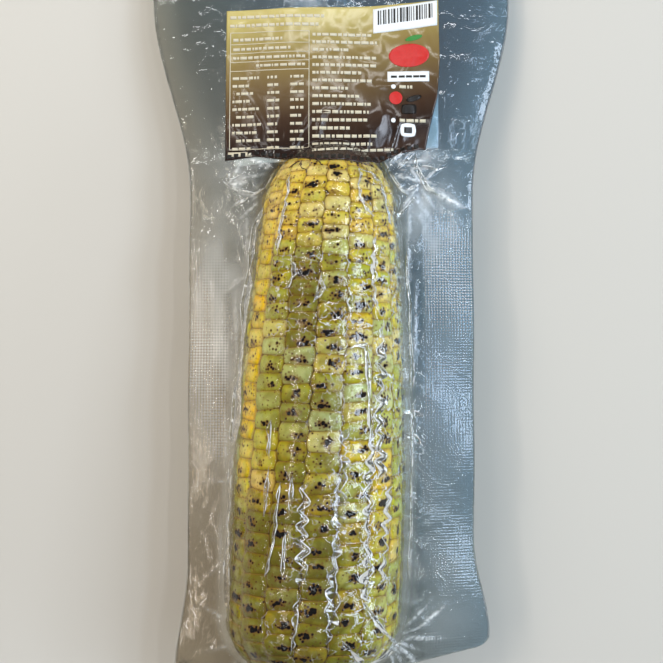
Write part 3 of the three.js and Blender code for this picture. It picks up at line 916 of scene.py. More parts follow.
# Both films as one closed envelope: the near one on every grid point, the far one on every second,
# joined along a shared rim, where each far face takes in the rim point between its corners.
def makeFilm(material):
    rows, columns = planX.shape
    size = rows * columns
    index = np.arange(size).reshape(rows, columns)
    farIndex = index[::2, ::2].copy()
    inner = farIndex[1:-1, 1:-1]
    farIndex[1:-1, 1:-1] = size + np.arange(inner.size).reshape(inner.shape)
    farInner = lambda v: v[::2, ::2][1:-1, 1:-1]
    far = np.stack([farInner(v) for v in (planX, planY, farZ)], -1)
    points = np.concatenate([np.stack([planX, planY, nearZ], -1).reshape(-1, 3), far.reshape(-1, 3)])
    a, b = farIndex[:-1, :-1], farIndex[:-1, 1:]
    c, d = farIndex[1:, 1:], farIndex[1:, :-1]
    quads = np.stack([a, d, c, b], axis=-1)[1:-1, 1:-1].reshape(-1, 4)
    low = [a[0, 1:-1], d[0, 1:-1], c[0, 1:-1], b[0, 1:-1], index[0, 3:-3:2]]
    high = [a[-1, 1:-1], d[-1, 1:-1], index[-1, 3:-3:2], c[-1, 1:-1], b[-1, 1:-1]]
    left = [a[1:-1, 0], index[3:-3:2, 0], d[1:-1, 0], c[1:-1, 0], b[1:-1, 0]]
    right = [a[1:-1, -1], d[1:-1, -1], c[1:-1, -1], index[3:-3:2, -1], b[1:-1, -1]]
    fives = np.concatenate([np.stack(side, axis=-1) for side in (low, high, left, right)])
    r, q = rows - 1, columns - 1
    sixes = np.array(
        [
            [index[0, 0], index[1, 0], farIndex[1, 0], farIndex[1, 1], farIndex[0, 1], index[0, 1]],
            [farIndex[0, -2], farIndex[1, -2], farIndex[1, -1], index[1, q], index[0, q], index[0, q - 1]],
            [farIndex[-2, 0], index[r - 1, 0], index[r, 0], index[r, 1], farIndex[-1, 1], farIndex[-2, 1]],
            [farIndex[-2, -2], farIndex[-1, -2], index[r, q - 1], index[r, q], index[r - 1, q], farIndex[-2, -1]],
        ]
    )
    # Knurled strips lie down both sides, pressed hardest beside the middle of the bag and gone at the header.
    knurl = smooth(planX - 27) * (0.4 + 0.6 * bell(planY, 16, 24))
    knurl = knurl + 0.5 * smooth(-planX - 30.5) * bell(planY, -12, 28)
    looks = {
        "welded": smooth((away - 1.0) / 4),
        # crease crests are painted white as a highlight
        "crest": 0.6 * np.clip(creaseZ * loose * 1.35, 0, 1) ** 2,
        "knurl": knurl * (1 - 0.9 * smooth((planY - 24) / 10)),
        "beads": beads,
        "gap": gap,
        # painted sheen
        "milk": paintedSheen(),
    }
    attributes = {key: np.concatenate([v.ravel(), farInner(v).ravel()]) for key, v in looks.items()}
    faces = [gridQuads(rows, columns), quads, fives, sixes]
    return addMesh("film", points, faces, material, attributes=attributes)


filmForm = {
    "knurlPitch": 0.00087,  # metres, as are the others
    "knurlDepth": 0.00008,
    "beadDepth": 0.00006,
    # Noises: size in metres, detail and harshness. The rims are contour lines of the beads.
    "noises": {
        "crinkle": (0.004, 3.0, 0.6),
        "bead": (0.0021, 1.0, 0.4),
        "press": (0.018, 1.0, 0.5),
        "tear": (0.0014, 2.0, 0.5),
    },
}


# Clear vacuum-bag laminate of nylon and polyethylene, blown and heat-sealed: glassy over the food, faintly tinted
# and hazy where two layers are welded, warm to the left and blue-grey to the right as a painted light colour, with
# a fine knurl from the sealing bars. Juice wets most of it against the corn, and where it lets go a rim loops
# round the dry patch, raised and painted white as a highlight: such rims are the contour lines of a noise, raised
# where the film spans a gap. Creases, pleats and some patches are painted white as highlights and sheen.
def filmMaterial(name, roughness, shine, crinkled):
    material, tree = newMaterial(name)
    names = ("welded", "crest", "knurl", "beads", "gap", "milk")
    read = {key: addNode(tree, "Attribute", {"attribute_name": key}).outputs["Fac"] for key in names}
    place = addNode(tree, "TexCoord").outputs["Object"]
    eased = {"interpolation_type": "SMOOTHSTEP"}
    noises = {}
    for key, (size, detail, harshness) in filmForm["noises"].items():
        settings = {"Scale": 1 / size, "Detail": detail, "Roughness": harshness}
        noises[key] = addNode(tree, "TexNoise", settings, {"Vector": place})
    # Knurl: the product of two sine waves across each other, at 45 degrees to the seals, whose cosine is
    # in the pitch.
    pitch = 2 * math.pi / filmForm["knurlPitch"] * 0.7071
    waves = addNode(tree, "VectorMath", {"operation": "SCALE", "Scale": pitch}, {0: place})
    waves = addNode(tree, "VectorRotate", {"rotation_type": "Z_AXIS", "Angle": math.pi / 4}, {"Vector": waves})
    waves = addNode(tree, "SeparateXYZ", None, {0: addNode(tree, "VectorMath", {"operation": "SINE"}, {0: waves})})
    dots = addNode(tree, "Math", {"operation": "MULTIPLY"}, {0: waves.outputs[0], 1: waves.outputs[1]})
    dots = addNode(tree, "Math", {"operation": "MULTIPLY"}, {0: dots, 1: read["knurl"]})
    drops = noises["bead"]
    for key, share in (("gap", 0.3), ("beads", 0.14)):
        drops = addNode(tree, "Math", {"operation": "MULTIPLY_ADD", 1: share}, {0: read[key], 2: drops})
    dry = addNode(tree, "MapRange", {**eased, "From Min": 0.66, "From Max": 0.74}, {"Value": drops})
    off = addNode(tree, "Math", {"operation": "SUBTRACT", 1: 0.7}, {0: drops})
    off = addNode(tree, "Math", {"operation": "ABSOLUTE"}, {0: off})
    settings = {**eased, "From Min": 0.006, "From Max": 0.035, "To Min": 1.0, "To Max": 0.0}
    rimGlints = addNode(tree, "MapRange", settings, {"Value": off})
    # Rims come and go along their run, and there are none where the films are welded.
    settings = {**eased, "From Min": 0.44, "From Max": 0.58, "To Min": 0.12}
    broken = addNode(tree, "MapRange", settings, {"Value": noises["crinkle"]})
    for source in (broken, read["beads"]):
        rimGlints = addNode(tree, "Math", {"operation": "MULTIPLY"}, {0: rimGlints, 1: source})
    bump = addNode(tree, "Bump", {"Strength": 1.0, "Distance": filmForm["knurlDepth"]}, {"Height": dots})
    for height, depth in ((noises["crinkle"], crinkled), (dry, filmForm["beadDepth"])):
        settings = {"Strength": 1.0, "Distance": depth}
        bump = addNode(tree, "Bump", settings, {"Height": height, "Normal": bump})
    # Two layers are a little darker, warm to the left and cool to the right and towards the header: a painted
    # light colour. Over the food juice tints it.
    across = addNode(tree, "VectorMath", {"operation": "DOT_PRODUCT", 1: [1.0, 0.35, 0.0]}, {0: place}).outputs[1]
    across = addNode(tree, "MapRange", {"From Min": -0.04, "From Max": 0.025}, {"Value": across})
    cast = addNode(tree, "MixRGB", {1: colour("#dad2c2"), 2: colour("#abc4d2")}, {0: across})
    tint = addNode(tree, "MixRGB", {1: [0.98, 0.979, 0.945, 1]}, {0: read["welded"], 2: cast})
    clear = addNode(tree, "BsdfTransparent", None, {"Color": tint})
    whiteHazeAndHighlight = addNode(tree, "BsdfDiffuse", {"Color": colour("#fbfeff")}, {"Normal": bump})
    hazeAndPaintedLight = addNode(tree, "Math", {"operation": "MULTIPLY_ADD", 1: 0.035, 2: 0.003}, {0: read["welded"]})
    # the painted sheen patches add white haze
    hazeAndPaintedLight = addNode(tree, "Math", {"operation": "ADD"}, {0: hazeAndPaintedLight, 1: read["milk"]})
    # The knurl is pressed deeper in some places than in others, and the painted highlight on creases comes and
    # goes.
    settings = {"From Min": 0.35, "From Max": 0.65, "To Min": 0.04, "To Max": 0.26}
    pressed = addNode(tree, "MapRange", settings, {"Value": noises["press"]})
    dotted = addNode(tree, "Math", {"operation": "MULTIPLY"}, {0: dots, 1: pressed})
    settings = {"From Min": 0.36, "From Max": 0.56, "To Min": 0.25}
    torn = addNode(tree, "MapRange", settings, {"Value": noises["tear"]})
    torn = addNode(tree, "Math", {"operation": "MULTIPLY"}, {0: torn, 1: read["crest"]})
    for source, share in ((read["knurl"], 0.08), (dotted, 1.0), (torn, 0.9), (rimGlints, 0.75)):
        hazeAndPaintedLight = addNode(tree, "Math", {"operation": "MULTIPLY_ADD", 1: share}, {0: source, 2: hazeAndPaintedLight})
    body = addNode(tree, "MixShader", None, {0: hazeAndPaintedLight, 1: clear, 2: whiteHazeAndHighlight})
    gloss = addNode(tree, "BsdfGlossy", {"Roughness": roughness, "Color": [1, 1, 1, 1]}, {"Normal": bump})
    fresnel = addNode(tree, "Fresnel", {"IOR": 1.5}, {"Normal": bump})
    share = addNode(tree, "MapRange", {"From Max": 0.7, "To Min": 0.01, "To Max": shine}, {"Value": fresnel})
    shader = addNode(tree, "MixShader", None, {0: share, 1: body, 2: gloss})
    addNode(tree, "OutputMaterial", None, {"Surface": shader})
    return material


# Reads a film's height at points in plan: finds the grid row by undoing the slant at the bottom, then
# the column by its share of the half width, and blends the four heights round the place.
def filmHeight(field, x, y):
    edge = bagForm["bottomEdge"] + bagForm["bottomSlope"] * (x - axisX(bagForm["bottomEdge"]))
    down = (bagForm["slantFrom"] - y) / (bagForm["slantFrom"] - edge)
    straight = lerp(bagForm["slantFrom"], -bagForm["halfLength"], down)
    rowY = np.where(y < bagForm["slantFrom"], straight, y)
    i = np.interp(x / halfWidth(rowY), columnShares, np.arange(len(columnShares)))
    j = (rowY + bagForm["halfLength"]) / (2 * bagForm["halfLength"]) * bagForm["rows"]
    i = np.clip(i, 0, len(columnShares) - 1 - 1e-6)
    j = np.clip(j, 0, bagForm["rows"] - 1e-6)
    return blendAt(field, j, i)


# Pleats where the film gathers on the cob: (places in mm, zigzag amplitude, its pitch, height, width).
nearPleats = [
    ([(-7.7, -44), (-8.2, -73)], 1.2, 4.8, 0.4, 0.7),
    ([(4.3, -29), (2.6, -46), (-1.0, -89)], 1.0, 4.8, 0.45, 0.85),
    ([(11.3, -31), (9.6, -78)], 1.3, 4.6, 0.4, 0.7),
    ([(14.4, 0), (13.6, -44)], 1.3, 4.6, 0.4, 0.6),
    ([(16.6, -46), (14.2, -74)], 1.0, 4.2, 0.35, 0.35),
    ([(3.6, -7.6), (6.6, -5.8), (9.9, -6.0), (11.6, -36)], 0.12, 6.0, 0.45, 0.5),
    ([(-17.7, -40), (-19.0, -54)], 0.1, 5.0, 0.4, 0.4),
    ([(-14.4, -44), (-16.6, -63), (-18.9, -71)], 0.2, 6.0, 0.45, 0.4),
    ([(-10.8, -42), (-11.9, -52.5)], 0.1, 5.0, 0.35, 0.4),
    ([(-13.0, -58), (-13.8, -70.5)], 0.1, 5.0, 0.35, 0.4),
    ([(-17.3, -27), (-17.8, -38)], 0.25, 5.0, 0.35, 0.5),
    ([(8.0, -77), (13.4, -85), (19.4, -94)], 0.1, 7.0, 0.5, 0.4),
    ([(8.5, -98.5), (14.0, -97.0), (20.5, -94.6)], 0.3, 5.0, 0.6, 1.0),
    ([(5.6, 12), (5.0, 4), (6.4, -2)], 0.5, 3.6, 0.3, 0.4),
    ([(-2.9, 15), (-2.3, 9.6), (-5.4, 6.4)], 0.3, 4.0, 0.35, 0.4),
    ([(-11.8, 20), (-10.4, 16), (-11.6, 12), (-13.6, 10)], 0.3, 3.0, 0.3, 0.4),
    ([(-12.2, 44), (-13.3, 35), (-14.6, 29), (-15.8, 20)], 0.3, 4.5, 0.4, 0.35),
    ([(7.7, 47), (8.8, 42.6), (7.7, 39.8), (8.8, 35), (12.1, 31.5)], 0.25, 4.0, 0.45, 0.3),
    ([(7.8, 45.4), (12.1, 44.4), (14.9, 41), (16.2, 34.5), (17.4, 29)], 0.3, 4.0, 0.45, 0.3),
    ([(12.6, 26), (12.0, 14), (13.0, 4)], 0.6, 3.8, 0.35, 0.45),
    ([(-9.4, -76), (-11.0, -92)], 0.4, 4.4, 0.45, 0.5),
    ([(2.6, -88), (7.5, -94), (10, -100)], 0.3, 4.4, 0.5, 0.5),
    ([(-23.5, 24), (-25.3, 10), (-26.6, -5), (-28.0, -24), (-29.2, -36)], 0.3, 13.0, 0.7, 0.8),
    ([(-29.6, -38), (-31.0, -62), (-30.8, -84)], 0.3, 13.0, 0.5, 0.6),
    ([(22.4, 22), (23.6, 4), (24.0, -20)], 0.3, 15.0, 0.4, 0.4),
    ([(24.2, -24), (24.0, -50), (23.2, -76)], 0.3, 15.0, 0.4, 0.4),
    ([(21.3, -26), (24.5, -25.6), (27.4, -27.4)], 0.2, 6.0, 0.6, 1.0),
    ([(21.5, -32.6), (24.5, -33.2), (27.0, -36.0)], 0.2, 6.0, 0.6, 1.0),
    ([(15.2, 50.0), (20.4, 41.5), (23.0, 38.6)], 0.05, 9.0, 0.5, 0.3),
    ([(19.4, 46.2), (25.2, 52.2)], 0.05, 9.0, 0.4, 0.3),
    ([(25.6, 52.0), (25.4, 46.6), (26.9, 42.7), (32.4, 39.0)], 0.05, 9.0, 0.5, 0.35),
    ([(26.9, 42.7), (21.4, 39.8)], 0.05, 9.0, 0.4, 0.3),
    ([(26.4, 48.6), (29.6, 46.4), (35.0, 47.8)], 0.05, 9.0, 0.4, 0.3),
    ([(19.2, 31.6), (25.4, 38.6)], 0.1, 7.0, 0.5, 0.6),
    ([(-34.0, 44.8), (-29.0, 40.6), (-21.0, 39.1), (-17.0, 46.6)], 0.05, 9.0, 0.5, 0.35),
    ([(-30.5, 35.2), (-23.9, 39.1)], 0.1, 7.0, 0.6, 0.7),
    ([(-33.5, 44.4), (-26.6, 45.7)], 0.1, 7.0, 0.6, 0.7),
    ([(-20.5, 35), (-23, 29), (-25, 20)], 0.3, 9.0, 0.6, 0.6),
]
farPleats = [
    ([(-12, 30), (-13, 0)], 0.5, 4.4, 0.4, 0.5),
    ([(10, 20), (12, -20)], 0.9, 4.4, 0.4, 0.5),
    ([(-18, -20), (-19, -70)], 0.6, 4.6, 0.4, 0.5),
    ([(14, -40), (12, -85)], 1.0, 4.4, 0.4, 0.5),
]


pointEvery = 0.3  # mm along a pleat or a thread


# A pleat's run: along a broken line it turns back and forth at sharp corners, half a pitch apart give or
# take a quarter, each swung out by its own amount. Its points come with the length run, the whole
# length, and which stretch each is in, counted in corners.
def pleatLine(corners, swing, pitch, seed):
    corners = np.array(corners, dtype=float)
    reach = np.concatenate([[0], np.cumsum(np.hypot(*np.diff(corners, axis=0).T))])
    count = max(int(reach[-1] / (pitch / 2)), 2)
    turn = np.arange(count + 1)
    at = (turn + 0.8 * (hashed(turn, seed) - 0.5) * (turn > 0) * (turn < count)) / count * reach[-1]
    aside = np.where(turn % 2 == 0, 1, -1) * swing * (0.3 + 1.1 * hashed(turn, seed, 4))
    x, y = (np.interp(at, reach, corners[:, n]) for n in (0, 1))
    dx, dy = np.gradient(x), np.gradient(y)
    long = np.hypot(dx, dy)
    x, y = x - aside * dy / long, y + aside * dx / long
    run = np.concatenate([[0], np.cumsum(np.hypot(np.diff(x), np.diff(y)))])
    s = np.linspace(0, run[-1], max(int(run[-1] / pointEvery), 8))
    return np.interp(s, run, x), np.interp(s, run, y), s, run[-1], np.interp(s, run, turn)


# A pleat is a narrow band of gathered film: a thin raised lip on each side, painted white as a highlight where the
# bend is tightest, clear film between them, a painted highlight across some corners, and here and there a facet
# painted white towards one side as a painted reflection. It is wider at some corners than at others, its flanks
# run out under the film, and both ends taper away.
def makePleats(name, pleats, heights, side, material):
    inward = np.array([0.0, 0.05, 0.17, 0.31, 9.0, 0.31, 0.17, 0.05, 0.0])
    flank = np.array([-1, -1, -1, -1, 0, 1, 1, 1, 1])
    rise = np.array([-0.6, 0.5, 1.0, 0.55, 0.0, 0.55, 1.0, 0.5, -0.6])
    lip = np.array([0.2, 1.0, 1.0, 0.05, 0.0, 0.05, 1.0, 1.0, 0.2])
    # a facet's painted reflection, fading from one side across
    shade = np.array([0.0, 0.0, 1.0, 0.8, 0.35, 0.05, 0.0, 0.0, 0.0])
    allPoints, allQuads, allEnds, allHighlights, start = [], [], [], [], 0
    for n, (corners, swing, pitch, height, width) in enumerate(pleats):
        x, y, s, total, turn = pleatLine(corners, swing, pitch, n * 7.3)
        dx, dy = (softened(np.gradient(v)[:, None], 2)[:, 0] for v in (x, y))
        long = np.hypot(dx, dy)
        corner = np.arange(int(turn[-1]) + 2)
        lively = np.interp(turn, corner, 0.35 + 1.1 * hashed(corner, n * 3.7, 2))
        taper = smooth(np.minimum(s, total - s) / 3.0)
        wide = 1.5 * width * (0.2 + 0.8 * taper) * lively
        high = height * taper * (0.8 + 0.3 * valueNoise(s / 1.9, n * 5.1, 3.0))
        across = flank * np.maximum(wide[:, None] - inward * np.minimum(1, wide[:, None] / 0.3), 0)
        px = x[:, None] - across * (dy / long)[:, None]
        py = y[:, None] + across * (dx / long)[:, None]
        base = filmHeight(heights, px, py)
        top = base + side * (rise[None, :] * high[:, None] + 0.02)
        under = base[:, ::-1] - side * 0.25
        upper, lower = np.stack([px, py, top], -1), np.stack([px[:, ::-1], py[:, ::-1], under], -1)
        ring = np.concatenate([upper, lower], axis=1)
        paintedGlint = lambda seed: smooth(0.45 + 0.4 * width + 1.7 * valueNoise(s / 2.3, n * 1.9, seed)) * taper
        strong = np.where(flank[None, :] < 0, paintedGlint(5.0)[:, None], paintedGlint(9.0)[:, None])
        filled = 0.4 * smooth(3 * hashed(np.floor(turn), n, 8) - 1.6) * taper
        leaning = np.where((np.floor(turn) % 2 == 0)[:, None], shade[None, :], shade[None, ::-1])
        crossing = (np.abs(turn - np.round(turn)) < 0.09) * (hashed(np.round(turn), n, 6) > 0.45) * taper
        white = np.maximum(lip[None, :] * 1.6 * strong, leaning * filled[:, None])
        white = np.maximum(white, 0.8 * crossing[:, None])
        allHighlights.append(np.concatenate([white, 0 * px], axis=1).ravel())
        quads, ends = tubeFaces(*ring.shape[:2], start)
        allPoints.append(ring.reshape(-1, 3))
        allQuads.append(quads if side > 0 else quads[:, ::-1])
        allEnds.append(ends if side > 0 else ends[:, ::-1])
        start += len(allPoints[-1])
    points = np.concatenate(allPoints)
    attributes = {key: np.zeros(len(points)) for key in ("welded", "knurl", "beads", "gap", "milk")}
    attributes["crest"] = np.concatenate(allHighlights)
    faces = [np.concatenate(allQuads), np.concatenate(allEnds)]
    return addMesh(name, points, faces, material, attributes=attributes)


# Dried silk left at the tip, in threads that run through these places just under the film.
silkForm = {
    "threads": [
        [(-9.1, 46.3), (-8.6, 45.5), (-7.2, 44.9), (-6.9, 44.3), (-7.6, 44.0)],
        [(-8.7, 48.4), (-8.9, 47.5), (-9.1, 46.0)],
        [(-5.0, 48.4), (-3.6, 47.5), (-2.8, 46.3)],
        [(-12.6, 46.0), (-10.6, 47.5), (-9.0, 48.1)],
        [(-6.2, 48.8), (-4.3, 48.2), (-2.6, 48.6)],
        [(9.6, 46.6), (10.6, 45.2), (10.2, 44.4)],
    ],
    "radius": 0.15,
    "under": 0.2,  # mm below the film
    "sides": 6,
}


# Each thread is a circle carried along its run: across by r cos a, up by r sin a, thinner at both ends.
def makeSilk(material):
    points, quads, ends, start = [], [], [], 0
    sides = silkForm["sides"]
    angle = 2 * math.pi * np.arange(sides) / sides
    for n, corners in enumerate(silkForm["threads"]):
        x, y, s, total, _ = pleatLine(corners, 0.12, 1.6, n * 5.9)
        x, y = (softened(v[:, None], 1)[:, 0] for v in (x, y))
        dx, dy = np.gradient(x), np.gradient(y)
        long = np.hypot(dx, dy)
        r = silkForm["radius"] * (0.35 + 0.65 * smooth(np.minimum(s, total - s) / 0.8))[:, None]
        px = x[:, None] - r * np.cos(angle) * (dy / long)[:, None]
        py = y[:, None] + r * np.cos(angle) * (dx / long)[:, None]
        pz = filmHeight(nearZ, x, y)[:, None] - silkForm["under"] + r * np.sin(angle)
        points.append(np.stack([px, py, pz], -1).reshape(-1, 3))
        tube = tubeFaces(len(x), sides, start)
        quads.append(tube[0])
        ends.append(tube[1])
        start += len(points[-1])
    faces = [np.concatenate(quads), np.concatenate(ends)]
    return addMesh("silk", np.concatenate(points), faces, material)


# Charred corn silk: dry, matt, nearly black threads with brown stretches.
def silkMaterial():
    material, tree = newMaterial("charredSilk")
    place = addNode(tree, "TexCoord").outputs["Object"]
    streaks = addNode(tree, "TexNoise", {"Scale": 1 / 0.0009, "Detail": 1.0}, {"Vector": place})
    stops = [(0.35, "#1c110c"), (0.7, "#5b3a1e")]
    base = addNode(tree, "ValToRGB", {"stops": stops}, {"Fac": streaks})
    shader = addNode(tree, "BsdfPrincipled", {"Roughness": 0.7}, {"Base Color": base})
    addNode(tree, "OutputMaterial", None, {"Surface": shader})
    return material


silk = makeSilk(silkMaterial())
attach(silk, "root")

# Roughness, the most that it mirrors, and the depth of its crinkles in metres: pleats are stretched smooth.
filmSkin = filmMaterial("vacuumFilm", 0.07, 0.62, 0.00035)
pleatSkin = filmMaterial("doubledFilm", 0.05, 0.9, 0.00005)
film = makeFilm(filmSkin)
for name, pleats, heights, side in (("nearPleats", nearPleats, nearZ, 1), ("farPleats", farPleats, farZ, -1)):
    piece = makePleats(name, pleats, heights, side, pleatSkin)
    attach(piece, "root")
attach(film, "root")
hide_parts("bag")

printForm = {
    "inkLift": 0.07,  # mm between layers, so that each shows
    "inkThickness": 0.04,
    "leftX": -32.3,
    "rightYs": [0, 0.13, 0.23, 0.35, 0.6, 1],
    "rightXs": [28.5, 29.7, 30.8, 32.3, 33.1, 32.8],
    "bottomXs": [-32.2, -23, -18, -11, -3.6, 3.6, 8, 14.8, 20.3, 27, 28.5],
    "bottomYs": [49.6, 50.8, 50.0, 49.4, 47.9, 48.2, 47.5, 48.8, 51.5, 53.2, 53],
    "topXs": [-32.3, -19, 4, 13, 32.8],
    "topYs": [96.8, 97.0, 97.6, 98.2, 100.0],
    "browns": [
        (0.0, "#34261f"),
        (0.05, "#2b1e19"),
        (0.09, "#231815"),
        (0.27, "#3d2c20"),
        (0.46, "#604e33"),
        (0.66, "#7d6b40"),
        (0.84, "#9a8c54"),
        (0.97, "#b3a668"),
    ],
    "slant": 0.14,  # of the pale patch at the head and what stands on it
}


# Closed thin plates over a batch of patches: x, y, low and high are (patch, row, column) arrays.
def plates(x, y, low, high):
    count, rows, columns = x.shape
    size = rows * columns
    bottom = np.stack([x, y, low], axis=-1).reshape(count, size, 3)
    top = np.stack([x, y, high], axis=-1).reshape(count, size, 3)
    points = np.concatenate([bottom, top], axis=1)
    quads = gridQuads(rows, columns)
    index = np.arange(size).reshape(rows, columns)
    rimLoop = np.concatenate([index[0, :-1], index[:-1, -1], index[-1, :0:-1], index[:0:-1, 0]])
    following = np.roll(rimLoop, -1)
    sides = np.stack([rimLoop, following, following + size, rimLoop + size], axis=-1)
    faces = np.concatenate([quads + size, quads[:, ::-1], sides])
    offsets = (np.arange(count) * 2 * size)[:, None, None]
    return points.reshape(-1, 3), (faces[None] + offsets).reshape(-1, 4)


# A panel: x runs between its left and right edges and y between its lower and upper ones.
def panelGrid(leftX, rightX, bottomY, topY, rows, columns):
    v = np.linspace(0, 1, rows)[:, None]
    u = np.linspace(0, 1, columns)[None, :]
    x = lerp(leftX(v), rightX(v), u)
    y = lerp(bottomY(x), topY(x), v)
    return x, y, np.broadcast_to(u, x.shape), np.broadcast_to(v, x.shape)


# Brown gravure ink on gloss film: tan with a golden cast, running down to dark brown, level with the header but a
# little cloudy, under a clear gloss whose reflections wander with the film. The light top is partly print and
# partly painted sheen, and the slant across, lighter to the left and darker to the right, is painted sheen and
# shade.
def printMaterial():
    material, tree = newMaterial("brownGravurePrint")
    split = addNode(tree, "SeparateXYZ", None, {0: addNode(tree, "UVMap", {"uv_map": "print"})})
    place = addNode(tree, "TexCoord").outputs["Object"]
    cloud = addNode(tree, "TexNoise", {"Scale": 1 / 0.02, "Detail": 2.0}, {"Vector": place})
    level = split.outputs[1]
    # slant across: painted sheen to the left, painted shade to the right
    for share, source in ((-0.17, split.outputs[0]), (0.12, cloud)):
        level = addNode(tree, "Math", {"operation": "MULTIPLY_ADD", 1: share}, {0: source, 2: level})
    base = addNode(tree, "ValToRGB", {"stops": printForm["browns"]}, {"Fac": level})
    waves = addNode(tree, "VectorMath", {"operation": "MULTIPLY", 1: [1.0, 0.45, 1.0]}, {0: place})
    waves = addNode(tree, "TexNoise", {"Scale": 1 / 0.007, "Detail": 1.2}, {"Vector": waves})
    bump = addNode(tree, "Bump", {"Strength": 1.0, "Distance": 0.0008}, {"Height": waves})
    settings = {"Roughness": 0.18, "IOR": 1.5, "Specular IOR Level": 0.5}
    shader = addNode(tree, "BsdfPrincipled", settings, {"Base Color": base, "Normal": bump})
    addNode(tree, "OutputMaterial", None, {"Surface": shader})
    return material


# Solid gravure ink, thin and even: one colour with a faint grain of 0.6 mm and a dull gloss.
def inkMaterial(name, hexCode):
    material, tree = newMaterial(name)
    place = addNode(tree, "TexCoord").outputs["Object"]
    grain = addNode(tree, "TexNoise", {"Scale": 1 / 0.0006, "Detail": 1.0}, {"Vector": place})
    level = addNode(tree, "MapRange", {"From Min": 0.3, "From Max": 0.7, "To Min": 0.9}, {"Value": grain})
    base = addNode(tree, "VectorMath", {"operation": "SCALE", 0: colour(hexCode)[:3]}, {"Scale": level})
    shader = addNode(tree, "BsdfPrincipled", {"Roughness": 0.4, "IOR": 1.5}, {"Base Color": base})
    addNode(tree, "OutputMaterial", None, {"Surface": shader})
    return material


# The near panel: straight on the left, with a worn right edge, a wavy foot and a slanting head.
def makeNearPrint():
    x, y, u, v = panelGrid(
        lambda t: printForm["leftX"] + 0 * t,
        lambda t: np.interp(t, printForm["rightYs"], printForm["rightXs"]),
        lambda at: np.interp(at, printForm["bottomXs"], printForm["bottomYs"]),
        lambda at: np.interp(at, printForm["topXs"], printForm["topYs"]),
        90,
        130,
    )
    z = filmHeight(nearZ, x, y) + printForm["inkLift"]
    points, faces = plates(x[None], y[None], z[None], z[None] + printForm["inkThickness"])
    uv = np.tile(np.stack([u.ravel(), v.ravel()], axis=-1), (2, 1))
    return addMesh("nearPrint", points, [faces], printMaterial(), {"print": uv})


# A plain panel at a depth under one film: straight edges, a little out of square.
def makeFarPrint(name, heights, depth, material):
    x, y, *_ = panelGrid(
        lambda t: lerp(-29.4, -31.8, t),
        lambda t: lerp(32.5, 32.6, t),
        lambda at: 47.6 + 0.1 * (at + 29.4),
        lambda at: 95.5 + 0.055 * (at + 31.8),
        80,
        110,
    )
    z = filmHeight(heights, x, y) - depth
    points, faces = plates(x[None], y[None], z[None] - printForm["inkThickness"], z[None])
    return addMesh(name, points, [faces], material)


nearPrint = makeNearPrint()
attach(nearPrint, "root")
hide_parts("print_near")
# White backing lies between the two films and shows through the near one; the outer face is printed brown.
for name, heights, depth, hexCode in (
    ("farBacking", (nearZ + farZ) / 2, 0.0, "#ffffff"),
    ("farPrint", farZ, 0.08, "#4a3624"),
):
    piece = makeFarPrint(name, heights, depth, inkMaterial(name + "Ink", hexCode))
    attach(piece, "root")
    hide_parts("print_far")


# Shapes of ink, each (x, y, half width, half height, slant, roundness), laid over the film as thin plates.
# Round ones map a square onto a disc: x = u sqrt(1 - v^2 / 2), y = v sqrt(1 - u^2 / 2).
def inkShapes(name, shapes, material, layer, steps=6, rows=1):
    form = np.array(shapes, dtype=float)[:, :, None, None]
    u = np.linspace(-1, 1, steps + 1)[None, None, :] + np.zeros((1, rows + 1, 1))
    v = np.linspace(-1, 1, rows + 1)[None, :, None] + np.zeros((1, 1, steps + 1))
    roundness = form[:, 5]
    across = lerp(u, u * np.sqrt(1 - v * v / 2), roundness)
    along = lerp(v, v * np.sqrt(1 - u * u / 2), roundness)
    x = form[:, 0] + form[:, 2] * across
    y = form[:, 1] + form[:, 3] * along + form[:, 4] * (x - form[:, 0])
    z = filmHeight(nearZ, x, y) + printForm["inkLift"] * (1 + layer)
    points, faces = plates(x, y, z, z + printForm["inkThickness"])
    piece = addMesh(name, points, [faces], material)
    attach(piece, "root")


# A line of plain dashes from x0 to x1: random lengths, as words would take, and narrow gaps.
def dashes(rng, x0, x1, y, height=1.0, density=1.0, slant=0.0):
    shapes, x = [], x0
    while x < x1 - 0.5:
        length = min(rng.uniform(0.5, 2.3), x1 - x)
        if rng.random() < density:
            shapes.append((x + length / 2, y + slant * (x - x0), length / 2, 0.39 * height, slant, 0))
        x += length + rng.uniform(0.26, 0.5)
    return shapes


# A straight bar between two corners.
def bar(x0, y0, x1, y1):
    return ((x0 + x1) / 2, (y0 + y1) / 2, (x1 - x0) / 2, (y1 - y0) / 2, 0, 0)


